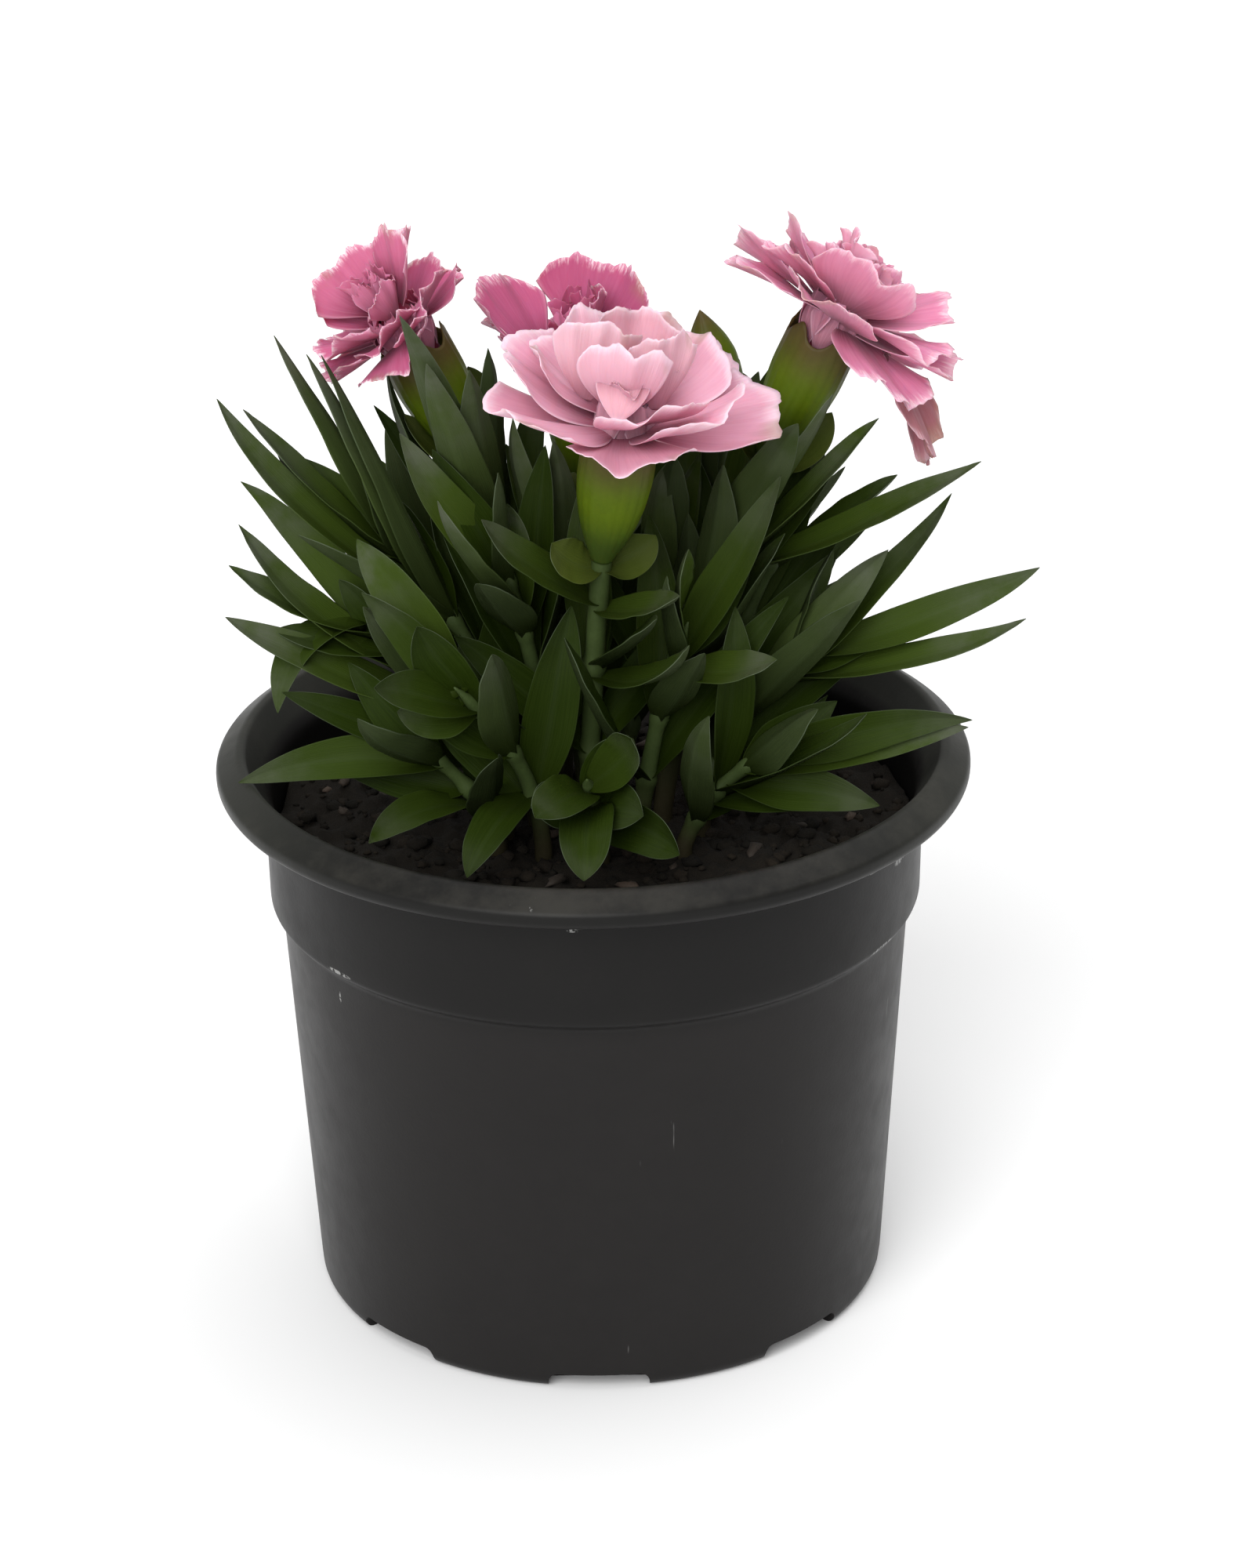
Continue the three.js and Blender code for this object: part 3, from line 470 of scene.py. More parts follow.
def rounded_section(section):
    """Corners cut back along both sides and joined by (1-t)^2 a + 2t(1-t) corner + t^2 b."""
    corners = np.array([row[:2] for row in section], float)
    reach = np.array([row[2] for row in section], float)
    t = np.linspace(0, 1, CORNER_POINTS)[:, None]
    line = [corners[:1]]
    for before, corner, after, most in zip(corners, corners[1:], corners[2:], reach[1:]):
        a, b = (corner + (end - corner) * min(most / np.linalg.norm(end - corner), 0.5)
                for end in (before, after))
        line.append((1 - t) ** 2 * a + 2 * t * (1 - t) * corner + t**2 * b)
    line = np.concatenate([*line, corners[-1:]])
    gaps = np.linalg.norm(np.diff(line, axis=0), axis=1)
    along = np.concatenate([[0], np.cumsum(gaps)])
    extra = [np.linspace(a, b, int((b - a) / WALL_STEP) + 2)[1:-1]
             for a, b in zip(along, along[1:])]
    stations = np.sort(np.concatenate([along, *extra]))
    return np.stack([np.interp(stations, along, line[:, k]) for k in range(2)], 1)


section = rounded_section(POT_SECTION)
print(len(section), "points in the pot's section")

# %% Turn the section and cut the drain notches
NOTCHES = 8
NOTCH_TURN = -1             # degrees
NOTCH_WIDTH, NOTCH_HEIGHT = 16, 2.8
NOTCH_BELOW, NOTCH_FROM, NOTCH_TO = -3.0, 41.5, 52.0    # where the slab starts and ends, mm
NOTCH_CORNER = 0.55         # radius of its upper corners, as a share of its height
WARP = 0.12                 # how far the thin wall wanders from round, mm
SHARP_FROM = 40             # an edge is sharp where its faces turn by more degrees than this


def turned(section, segments):
    """The section turned round the axis: x = r sin(angle), y = -r cos(angle).

    The wall wanders from round more and more towards the rim.  Tiny rings close it at the axis.
    """
    angle = full_turn(segments)
    radius, height = section[:, :1], section[:, 1:]
    firm = np.clip(height / 60, 0, 1) * (radius > 44)
    radius = radius + WARP * firm * (np.sin(2 * angle + 1) + 0.6 * np.sin(3 * angle + height / 40))
    points = np.stack([radius * np.sin(angle), -radius * np.cos(angle),
                       height + 0 * angle], -1)
    centre = points[[0, -1]] * [0.02, 0.02, 1]
    return np.concatenate([centre[:1], points, centre[1:]])


def notch_cutter(angle):
    """A slab with rounded upper corners that runs outwards through the foot of the wall."""
    corner = NOTCH_HEIGHT * NOTCH_CORNER
    turn = np.linspace(0, np.pi / 2, 6)
    x = NOTCH_WIDTH / 2 - corner + corner * np.cos(turn)
    z = NOTCH_HEIGHT - corner + corner * np.sin(turn)
    right, top = np.concatenate([[x[0]], x]), np.concatenate([[NOTCH_BELOW], z])
    ring_x = np.concatenate([right, -right[::-1]])
    ring_z = np.concatenate([top, top[::-1]])
    reach = np.array([NOTCH_FROM, NOTCH_TO])[:, None]
    s, c = math.sin(angle), math.cos(angle)
    return np.stack([reach * s + ring_x * c, -reach * c + ring_x * s, ring_z + 0 * reach], -1)


def cut(piece, parts):
    """Cuts parts out of a piece with a Boolean modifier, and applies it."""
    cutter = joined("cutter", parts)
    modifier = piece.modifiers.new("cut", "BOOLEAN")
    modifier.object = cutter
    modifier.solver = "EXACT"
    graph = bpy.context.evaluated_depsgraph_get()
    result = bpy.data.meshes.new_from_object(piece.evaluated_get(graph))
    piece.modifiers.clear()
    piece.data = result
    bpy.data.objects.remove(cutter)


print(*turned(section, POT_SEGMENTS).shape[:2], "rings and points of a ring in the pot")

# %% [markdown]
# Black nursery plastic is satin, not glossy: it shows broad pale reflections near the rim.  Its
# finish gets a fine grain in the bump, a slow change of roughness, a haze of dust that gathers
# on faces that look up, and short pale scratches.  Light is painted on it too: a painted shade
# on the collar and the front of the lip, a paler painted reflection on the lip's sides, and
# pale highlight lines painted on the ledge and where lip and collar meet.

# %% Finish of the pot
COLLAR_RADIUS = 52          # mm
# some are real scuffs and scratches; the others are pale highlight lines painted on the ledge and
# where lip and collar meet
SCUFFS_AND_HIGHLIGHTS = [                  # azimuth in degrees, height, half width and half height in mm
    (32.8, 86.6, 0.7, 0.9), (-3.7, 83.9, 1.3, 0.5), (56.2, 82.2, 3.6, 0.5), (65, 80.4, 2.4, 0.8),
    (-53.2, 62, 0.25, 1.4), (59, 67.6, 4.2, 0.4), (-50, 68, 3.4, 0.4), (-64.5, 82, 3.6, 0.5),
]


def make_pot_material():
    """Black plastic, grain, dust, scratches; collar darker, lip paler, as painted shade and light.
    """
    material, tree, shader = new_material(
        "black pot plastic", Roughness=0.42, Specular_IOR_Level=0.14)
    colour, mask = mottled(tree, (0.0115, 0.0105, 0.0102), 60.0, 0.1)
    place = add_node(tree, "SeparateXYZ", {0: add_node(tree, "TexCoord")["Object"]})
    height = product(tree, place["Z"], 1000.0)
    angle = math_node(tree, "ARCTAN2", place["X"], product(tree, place["Y"], -1.0))
    # painted shade: the collar under the lip is made darker
    collar = product(tree, ramp(tree, height, 62, 70, 0.0, 0.6),
                     ramp(tree, height, 84, 87.5, 1.0, 0.0))
    # painted light: the lip is darker at the front as painted shade and paler towards the sides as
    # a painted reflection
    side = ramp(tree, math_node(tree, "ABSOLUTE", angle), 0.5, 1.4)
    lip = layered(tree, (0.006, 0.006, 0.0055), (side, (0.030, 0.031, 0.026)))
    upward = add_node(tree, "SeparateXYZ", {0: add_node(tree, "NewGeometry")["Normal"]})["Z"]
    dust = product(tree, ramp(tree, upward, 0.15, 0.9, 0.01, 0.22),
                   ramp(tree, noise_node(tree, 45.0, 6.0, 0.7), 0.42, 0.72))
    streaks = noise_node(tree, 900.0, 2.0, 0.5, stretch=(1, 1, 0.06))
    scratches_and_highlights = product(tree, ramp(tree, streaks, 0.68, 0.72),
                      ramp(tree, noise_node(tree, 70.0, 2.0, 0.5), 0.66, 0.72, 0.0, 0.3))
    # pale scratches, with the table's scuffs and painted highlight lines added to them
    for azimuth, level, wide, high in SCUFFS_AND_HIGHLIGHTS:
        across = product(tree, math_node(tree, "SUBTRACT", angle, math.radians(azimuth)),
                         COLLAR_RADIUS / wide)
        up = math_node(tree, "DIVIDE", math_node(tree, "SUBTRACT", height, level), high)
        away = math_node(tree, "ADD", product(tree, across, across), product(tree, up, up))
        broken = product(tree, ramp(tree, away, 0.3, 1.0, 0.8, 0.0),
                         ramp(tree, noise_node(tree, 1400.0, 2.0), 0.42, 0.55))
        scratches_and_highlights = math_node(tree, "MAXIMUM", scratches_and_highlights, broken)
    colour = layered(tree, colour, (collar, (0.004, 0.004, 0.0038)),
                     (ramp(tree, height, 86.8, 88.4, 0.0, 0.85), lip),
                     (dust, (0.09, 0.085, 0.07)), (scratches_and_highlights, (0.3, 0.3, 0.29)))
    feed(tree, shader.inputs["Roughness"], ramp(tree, mask, 0.3, 0.7, 0.38, 0.48))
    surface(tree, shader, colour, noise_node(tree, 1500.0, 3.0, 0.6), 0.00004, 0.5)
    return material


pot_body = skin(turned(section, POT_SEGMENTS))
pot = add_piece("pot_shell", [pot_body], [make_pot_material()], "pot")
cutters = [skin(notch_cutter(math.radians(NOTCH_TURN) + 2 * math.pi * k / NOTCHES))
           for k in range(NOTCHES)]
cut(pot, cutters)
pot.data.set_sharp_from_angle(angle=math.radians(SHARP_FROM))
print("pot:", len(pot.data.polygons), "faces")

# %% [markdown]
# ## The soil
#
# The soil is dark, damp peat.  A surface with noise of three sizes gives the lumps, and nearly a
# thousand loose crumbs on it give the broken look that a surface alone never has.  Most crumbs
# are peat; some are chips of bark.

# %% Surface of the soil
SOIL_TOP, SOIL_LUMP = 79, 0.9
SOIL_SECTION = [(0.3, 1.5), (43.8, 1.5), (48.2, 65), (50.3, 69.2)]
SOIL_SEGMENTS = 220
SOIL_RINGS = 96
SOIL_REACH = 50.6           # radius at the wall, mm
CRUMB_RINGS, CRUMB_SIDES = 5, 6
CRUMB_CAP = 0.25            # angle from a crumb's pole to its first ring


def soil_height(x, y):
    """The model's slow lumps, with finer crumbs of noise on them."""
    lumps = np.sin(0.61 * x + 1.3 * np.sin(0.23 * y)) * np.cos(0.53 * y)
    crumbs = np.sin(1.37 * x - 0.7 * y) * np.sin(0.9 * y + 0.4 * x)
    broad = SOIL_LUMP * (0.7 * lumps + 0.3 * crumbs)
    fine = 0.55 * noise(x, y, 1.9, 1) + 0.35 * noise(x, y, 0.9, 2) + 0.6 * noise(x, y, 4.3, 3)
    return SOIL_TOP + broad + fine


def soil_surface():
    """Rings up the side of the root ball, then inwards over the top."""
    angle = full_turn(SOIL_SEGMENTS)
    side = np.array(SOIL_SECTION)
    low = np.stack([side[:, :1] * np.cos(angle), side[:, :1] * np.sin(angle),
                    side[:, 1:] + 0 * angle], -1)
    radius = SOIL_REACH * np.linspace(1, 0.004, SOIL_RINGS)[:, None] ** 0.8
    x, y = radius * np.cos(angle), radius * np.sin(angle)
    return np.concatenate([low, np.stack([x, y, soil_height(x, y)], -1)])


def crumb(centre, size, stretch, turn, salt):
    """A rough lump: a stretched ball whose radius is shaken by a scramble of its corners."""
    polar = np.linspace(CRUMB_CAP, np.pi - CRUMB_CAP, CRUMB_RINGS)[:, None]
    around = full_turn(CRUMB_SIDES)
    shake = 0.75 + 0.5 * corner_value(polar * 10, around * 10, salt)
    x = size * stretch * shake * np.sin(polar) * np.cos(around)
    y = size * shake * np.sin(polar) * np.sin(around)
    z = 0.7 * size * shake * np.cos(polar)
    c, s = math.cos(turn), math.sin(turn)
    return np.stack([x * c - y * s, x * s + y * c, z], -1) + centre


def scattered_crumbs(series, count, reach, sizes, stretch, material):
    """Crumbs on the soil: the square root spreads them evenly over the round surface."""
    parts = []
    for salt in range(count):
        radius, angle = reach * math.sqrt(next(series)), 2 * math.pi * next(series)
        size = sizes[0] + (sizes[1] - sizes[0]) * next(series) ** 2
        x, y = radius * math.cos(angle), radius * math.sin(angle)
        z = float(soil_height(x, y)) + 0.25 * size
        points = crumb((x, y, z), size, 1 + stretch * next(series), 6.28 * next(series), salt)
        parts.append(skin(points, material, tint=next(series)))
    return parts


print("middle of the soil at", round(float(soil_height(0, 0)), 1), "mm")

# %% Finish of the soil, and its crumbs
PEAT = plain_material(
    "dark peat", "tint", (0.0045, 0.0036, 0.002), [((), (0.014, 0.010, 0.006))], (900.0, 0.3),
    (0.0004, 0.8), Roughness=0.92, Specular_IOR_Level=0.25)
BARK = plain_material(
    "bark chips", "tint", (0.014, 0.010, 0.006), [((), (0.055, 0.036, 0.024))], (700.0, 0.25),
    (0.0003, 0.6), Roughness=0.8)
CRUMBS = [                  # how many, how far out, least and greatest size, stretch, material
    (900, 49, (0.35, 1.5), 0.6, 0),
    (60, 47, (0.6, 1.6), 1.4, 1),
]
series = seeded_series(SOIL_SEED)
soil_parts = [skin(soil_surface(), tint=0.35)]
for row in CRUMBS:
    soil_parts += scattered_crumbs(series, *row)
soil = add_piece("soil_and_crumbs", soil_parts, [PEAT, BARK], "soil")
print("soil:", len(soil.data.polygons), "faces")

# %% [markdown]
# ## The plan of the plant
#
# The next table is the plan that the solid model was grown from: where every stem leaves the
# soil, how it bends and ends, how many pairs of leaves it has, and where its longest leaves
# reach.  The same plan and the same seeded series give the same leaves, so a fine leaf can grow
# along the line of each coarse one.

# %% Shoots
SHOOT_COLUMNS = ("name", "foot", "bend", "head", "radius", "turn", "pairs", "length", "width",
                 "spread", "reach")
SHOOT_ROWS = [              # lengths in mm, turn and spread in degrees; each long leaf that
    # reaches out has its place up the stem, 0 to 1, where its tip is, and its arch
    ("flower_shoot_front", [-1, -9], [0, -10, 108], [2, -16, 130], 1.8, 20, 2, 34, 6.6, 38,
     [[0.8, -17, -27, 140, -0.05], [0.78, 13.6, -27, 127, -0.08], [0.53, 15.4, -33, 121, -0.16]],
     dict(taper=4, flower=dict(axis=[0.15, -0.2, 0.97], bracts=[5, 8.4]))),
    ("flower_shoot_middle", [-5, 7], [-4, 12, 105], [0, 18, 127], 1.8, 70, 3, 42, 7.2, 30, [],
     dict(flower=dict(axis=[-0.05, -0.1, 0.99], bracts=[9, 6.6]))),
    ("flower_shoot_left", [-11, 1], [-11, 6, 112], [-18, 8, 137.5], 1.8, 35, 4, 46, 7.2, 26,
     [[0.8, -27, -19, 171, -0.04], [0.75, -21.5, -12, 158, -0.04],
      [0.7, -23.9, -11, 164.5, -0.04], [0.6, -32.5, 2, 153.5, -0.06]],
     dict(flower=dict(axis=[-0.42, -0.08, 0.9], bracts=[15, 6.6]))),
    ("flower_shoot_right", [11, -2], [16, -3, 118], [28, 2, 139.2], 1.8, 10, 4, 46, 7.2, 26,
     [[0.7, 37.5, -9, 152.5, -0.04], [0.6, 43.8, -8, 148.5, -0.04],
      [0.62, 56.3, -12, 149.3, -0.08]], dict(flower=dict(axis=[0.42, 0, 0.91], bracts=[12, 6.6]))),
    ("flower_shoot_bud", [9, 9], [18, 14, 112], [22, 20, 139], 1.7, 55, 3, 42, 7, 28, [],
     dict(flower=dict(axis=[-0.22, 0, 0.97], bracts=[7, 6.6]))),
    ("leafy_shoot_left_high", [-9, -5], [-13, -3, 106], [-34, 2, 130], 1.7, 40, 4, 38, 7, 32,
     [[0.95, -49, 3, 158.5, -0.08], [0.7, -57.5, 0, 150, -0.12], [0.75, -41.5, -2, 159, -0.05],
      [0.85, -52.5, 4, 147.5, -0.1], [0.6, -53, -2, 141.5, -0.08], [0.65, -39, -4, 159.5, -0.05]]),
    ("leafy_shoot_left", [-14, -8], [-16, -8, 100], [-35, -6, 115], 1.7, 10, 3, 36, 7, 34,
     [[0.85, -54, 2, 136, -0.14], [0.7, -54.5, -5, 131.5, -0.12], [0.95, -55.5, -6, 125.5, -0.12],
      [0.55, -53.5, -10, 123.5, -0.06], [1, -48.5, -14, 103.5, 0.5]]),
    ("leafy_shoot_left_low", [-15, -14], [-17, -15, 90], [-27, -17, 99], 1.6, 80, 3, 32, 7.2, 40,
     [[0.8, -55.5, -16, 92.5, 0.16], [0.4, -34.8, -34, 89.5, 0.2]]),
    ("leafy_shoot_front_left", [-8, -16], [-9, -18, 98], [-21, -25, 112], 1.6, 25, 3, 34, 7.4, 32,
     [[0.9, -34.5, -22, 127, -0.06], [0.95, -35.4, -16, 133, -0.06], [0.3, -19.7, -36, 85.5, 0.2],
      [0.85, -29.5, -26, 110, -0.1]], dict(taper=4)),
    ("leafy_shoot_front", [1, -18], [0, -21, 90], [-1, -29, 98], 1.6, 40, 1, 18, 7.2, 30,
     [[0.8, -9, -42, 97.5, 0.2], [0.6, -1.7, -45, 88.5, 0.3], [0.9, 6, -36, 108, -0.2],
      [0.3, 13.5, -37, 89, 0.25], [0.45, 7.2, -36, 95, 0.2]], dict(taper=7)),
    ("leafy_shoot_centre_left", [-6, -3], [-8, -5, 108], [-14, -10, 128], 1.7, 50, 4, 36, 7.4, 26,
     [[0.7, -12, -12, 137.5, -0.04], [0.85, -28.5, -12, 148.5, -0.06],
      [0.75, -24.5, -20, 140.5, -0.06]]),
    ("leafy_shoot_centre_right", [7, -12], [9, -13, 100], [15, -15, 118], 1.7, 30, 3, 34, 7.4, 28,
     [[0.8, 29, -14, 141, -0.05], [0.9, 15, -20, 132, -0.03], [0.8, 28, -28, 117, -0.12]]),
    ("leafy_shoot_middle_left", [-1, -1], [-3, 2, 104], [-6, 6, 124], 1.6, 15, 3, 38, 7, 24,
     [[0.85, -12.7, 0, 145.5, -0.04]], dict(late=[[0.7, -6, 2, 143, -0.04]])),
    ("leafy_shoot_middle_right", [4, 4], [8, 5, 104], [12, 6, 122], 1.6, 70, 3, 38, 7, 24,
     [[0.85, 11.5, 0, 138, -0.04], [0.75, 16.6, 8, 137, -0.04]]),
    ("leafy_shoot_right_low", [14, -16], [17, -16, 90], [27, -18, 97], 1.6, 60, 3, 32, 7, 36,
     [[0.95, 58.5, -14, 101.5, 0.06], [0.8, 58.5, -17, 98, 0.04], [0.65, 47, -20, 95.5, 0.06],
      [0.45, 44, -24, 94.5, 0.06]]),
    ("leafy_shoot_right", [17, -7], [19, -6, 98], [34, -4, 109], 1.7, 15, 3, 36, 6.2, 32,
     [[0.95, 70.5, 0, 120, -0.07], [0.8, 68.3, -6, 113, -0.08], [0.65, 61.3, 1, 127.5, -0.06],
      [0.7, 50, -8, 126.5, -0.05]]),
    ("leafy_shoot_right_high", [18, 3], [20, 3, 106], [31, 1, 126], 1.7, 65, 4, 40, 7, 28, []),
    ("leafy_shoot_back_left", [-14, 12], [-17, 16, 100], [-28, 27, 120], 1.7, 30, 4, 38, 7.6, 34,
     []),
    ("leafy_shoot_back", [1, 18], [1, 22, 104], [2, 33, 124], 1.7, 75, 4, 38, 7.6, 34, []),
    ("leafy_shoot_back_right", [15, 14], [18, 18, 98], [31, 28, 116], 1.7, 20, 4, 38, 7.6, 34, []),
]
SHOOTS = [dict(zip(SHOOT_COLUMNS, row), **dict(*row[len(SHOOT_COLUMNS):])) for row in SHOOT_ROWS]
print(len(SHOOTS), "shoots")

# %% Blooms, and the bends that are tried
BLOOMS = [
    dict(name="bloom_front", shoot="flower_shoot_front", turn=12,
         rings=[[7, 24.3, 9.8, 8, -9], [6, 20, 8.4, 17, 3], [4, 15.5, 7, 38, 8]],
         heart=[[-105, 14.3, 6.3, 78, 2.7, -6], [-80, 13, 5.8, 82, 2.9, 4],
                [-95, 10.5, 4.6, -40, 6.8, -1]],
         loose=[]),
    dict(name="bloom_right", shoot="flower_shoot_right", axis=[0.64, 0.1, 0.76], lift=1.3, turn=40,
         rings=[[7, 22.6, 9, -3, 0], [6, 19, 8.2, 7, 0], [4, 12, 6, 20, 0]],
         heart=[[-75, 10, 5, 44, 2], [165, 10.5, 5, 44, 3], [30, 9.5, 5, 46, 3]],
         loose=[[4, 29, 6, -22], [-18, 27, 7, -16]]),
    dict(name="bloom_left", shoot="flower_shoot_left", axis=[-0.56, -0.1, 0.82], lift=0.8, turn=25,
         rings=[[6, 15.5, 8.2, 6, 8], [5, 13.8, 7.4, 26, 12]],
         heart=[[18, 15, 5.6, 48, 2], [112, 13.5, 8.6, 50, 2], [-60, 9, 4.4, 50, 2]],
         loose=[]),
    dict(name="bloom_middle", shoot="flower_shoot_middle", turn=5,
         rings=[[6, 16, 8.4, 10, 8], [4, 14, 7.4, 34, 6]],
         heart=[[50, 14.5, 10.4, 50, 2], [140, 17.5, 8, 38, 2, 6], [-40, 10, 5, 56, 3]],
         loose=[]),
]
BLADE_BENDS = [
    (0, 0, 1), (9, 0, 1), (-9, 0, 1), (0, 8, 1), (0, -8, 1), (18, 0, 1), (-18, 0, 1),
    (10, 10, 0.95), (-10, 10, 0.95), (0, 16, 0.95), (28, 5, 0.9), (-28, 5, 0.9),
    (0, -16, 0.9), (20, -10, 0.85), (-20, -10, 0.85), (38, 8, 0.85), (-38, 8, 0.85),
    (0, 8, 0.75), (0, -8, 0.7), (20, 18, 0.7), (-20, 18, 0.7), (48, 0, 0.7), (-48, 0, 0.7),
    (0, 24, 0.6), (0, 0, 0.5), (30, 0, 0.5), (-30, 0, 0.5),
]
PETAL_BENDS = [
    (0, 0, 1), (0, 4, 1), (0, -4, 1), (7, 0, 1), (-7, 0, 1), (0, 8, 1), (7, 6, 1), (-7, 6, 1),
    (0, 13, 1), (10, 10, 0.95), (-10, 10, 0.95), (0, 20, 0.95), (0, 28, 0.95), (0, 36, 0.9),
    (0, 46, 0.85), (0, 55, 0.8),
]
print(len(BLOOMS), "blooms and", len(BLADE_BENDS) + len(PETAL_BENDS), "bends to try")

# %% [markdown]
# ## Curves
#
# Stems and leaves follow the same kind of curve: from a start to an end, pulled towards a third
# point.  A section is set square to the curve with two directions that are carried over from X
# and Y by the least turn, so that nothing twists on the way.

# %% Curves and directions
def unit(vectors):
    """Each vector divided by its length."""
    vectors = np.asarray(vectors, float)
    return vectors / np.linalg.norm(vectors, axis=-1, keepdims=True)


def curve_points(curve, t):
    """(1-t)^2 a + 2t(1-t) b + t^2 c for every t."""
    a, b, c = (np.asarray(p, float) for p in curve)
    t = np.asarray(t, float)[..., None]
    return (1 - t) ** 2 * a + 2 * t * (1 - t) * b + t**2 * c


def curve_directions(curve, t):
    """The way the curve runs: (t-1) a + (1-2t) b + t c, made of length 1."""
    a, b, c = (np.asarray(p, float) for p in curve)
    t = np.asarray(t, float)[..., None]
    return unit((t - 1) * a + (1 - 2 * t) * b + t * c)


def cross_directions(t):
    """X and Y carried over by the least turn that brings Z to t."""
    t = np.asarray(t, float)
    x, y, z = t[..., 0], t[..., 1], t[..., 2]
    k = 1 + z
    return (np.stack([1 - x * x / k, -x * y / k, -x], -1),
            np.stack([-x * y / k, 1 - y * y / k, -y], -1))


def outward(along, azimuth):
    """The direction square to `along` that points to an azimuth."""
    u, v = cross_directions(along)
    return math.cos(azimuth) * u + math.sin(azimuth) * v


def stem_curve(shoot):
    """From just over the soil, pulled towards the bend, to the head."""
    return (*shoot["foot"], SOIL_TOP + 1.5), shoot["bend"], shoot["head"]


print("middle of the first stem:", curve_points(stem_curve(SHOOTS[0]), 0.5).round(1))

# %% [markdown]
# ## Where the leaves and petals are
#
# A coarse leaf that met another was bent to one of a few other places, or left out.  Which one
# can be read back: each possible place has its own tip and edge points, and the right one is the
# one whose points are corners of the solid.

# %% Blades as planned
TAPER = 3                   # how late a blade narrows to its tip
FACE_FRONT = 1.15           # how far the blades at the sides turn their faces to the front
BLADE_STATIONS = np.array([0.34, 0.72])
BRACT_DROP, BRACT_WIDTH, BRACT_TAPER, BRACT_ARCH = 2.5, 6.4, 5, -0.24
LEAST_PITCH = 0.12          # radians between a blade and its stem
FOUND_WITHIN = 0.03         # how near a corner of the solid has to be, mm
LEAST_CORNERS = {"petal": 3, "blade": 2}    # how many of them have to be found


def reaching_blades(shoot, draw, rows="reach"):
    """The long blades that stand out of the clump; the late ones fill gaps that are left."""
    curve = stem_curve(shoot)
    return [dict(root=curve_points(curve, t), along=curve_directions(curve, t),
                 tip=np.array((x, y, z), float), width=shoot["width"] * (0.9 + 0.15 * draw()),
                 taper=shoot.get("taper", TAPER), arch=arch, sway=0.05 * (draw() - 0.5),
                 twist=0.9 * (draw() - 0.5), kind="reaching")
            for t, x, y, z, arch in shoot.get(rows, [])]


def leaf_place(shoot, pair):
    """How far up the stem a pair of leaves sits, 0 to 1, and its rank from lowest to highest."""
    rank = (pair + 0.5) / shoot["pairs"]
    return (0.1 + 0.62 * rank if "flower" in shoot else 0.12 + 0.86 * rank), rank


def paired_blades(shoot, draw):
    """The pairs up a shoot: long and spreading below, short and upright on top."""
    curve = stem_curve(shoot)
    blades = []
    for pair in range(shoot["pairs"]):
        t, rank = leaf_place(shoot, pair)
        root, along = curve_points(curve, t), curve_directions(curve, t)
        for half in range(2):
            azimuth = math.radians(shoot["turn"] + 90 * pair + 180 * half + 24 * (draw() - 0.5))
            pitch = math.radians(shoot["spread"] * (1.25 - 0.55 * rank) + 10 * (draw() - 0.5))
            fade = 1 - 0.25 * rank if "flower" in shoot else 1 - 0.5 * rank * rank
            length = shoot["length"] * fade * (0.88 + 0.24 * draw())
            tip = (root + length * math.cos(pitch) * along
                   + length * math.sin(pitch) * outward(along, azimuth))
            blades.append(dict(root=root, along=along, tip=tip,
                               width=shoot["width"] * (0.88 + 0.2 * draw()),
                               taper=shoot.get("taper", TAPER),
                               arch=0.14 * draw() - 0.06, sway=0.08 * (draw() - 0.5),
                               twist=0.9 * (draw() - 0.5), kind="paired"))
    return blades


def bract_blades(shoot):
    """The pair of short broad bracts that clasp the foot of a calyx."""
    axis = unit(shoot["flower"]["axis"])
    root = np.array(shoot["head"]) - BRACT_DROP * axis
    up, out = shoot["flower"]["bracts"]
    blades = []
    for half in (0, math.pi):
        tip = root + up * axis + out * outward(axis, math.radians(shoot["turn"]) + half)
        blades.append(dict(root=root, along=axis, tip=tip, width=BRACT_WIDTH, taper=BRACT_TAPER,
                           arch=BRACT_ARCH, sway=0, twist=0, kind="bract"))
    return blades


print(2 * sum(shoot["pairs"] for shoot in SHOOTS), "leaves planned in pairs")

# %% Bends and corners of a blade
def bent_blade(blade, bend):
    """The blade swung round its stem, lifted towards it and shortened."""
    swing, lift, stretch = bend
    u, v = cross_directions(blade["along"])
    reach = blade["tip"] - blade["root"]
    azimuth = math.atan2(reach @ v, reach @ u) + math.radians(swing)
    pitch = math.atan2(math.hypot(reach @ u, reach @ v), reach @ blade["along"])
    pitch = max(pitch - math.radians(lift), LEAST_PITCH)
    length = np.linalg.norm(reach) * stretch
    tip = (blade["root"] + length * math.cos(pitch) * blade["along"]
           + length * math.sin(pitch) * outward(blade["along"], azimuth))
    return {**blade, "tip": tip}


def blade_frame(blade, t):
    """Centre, sideways and upward directions of a blade's section at every t."""
    chord = blade["tip"] - blade["root"]
    length = np.linalg.norm(chord)
    straight = chord / length
    rise = unit(blade["along"] - (blade["along"] @ straight) * straight)
    side = unit(np.cross(blade["along"], chord))
    middle = (blade["root"] + 0.5 * chord + blade["arch"] * length * rise
              + blade["sway"] * length * side)
    curve = blade["root"], middle, blade["tip"]
    forward = curve_directions(curve, t)
    up = unit(np.cross(forward, side))
    across = np.cross(up, forward)
    turn = ((blade["twist"] + FACE_FRONT * side[1]) * np.sqrt(t))[..., None]
    left = np.cos(turn) * across + np.sin(turn) * up
    face = np.cos(turn) * up - np.sin(turn) * across
    return curve_points(curve, t), left, face, length


def blade_width(t, taper):
    """Half width as a share of the greatest: quick to widen, then a long taper to the tip."""
    root = 0.24 + 0.76 * np.sin(np.pi * np.minimum(t / 1.2, 0.5)) ** 0.7
    return root * (1 - t**taper) ** 0.9


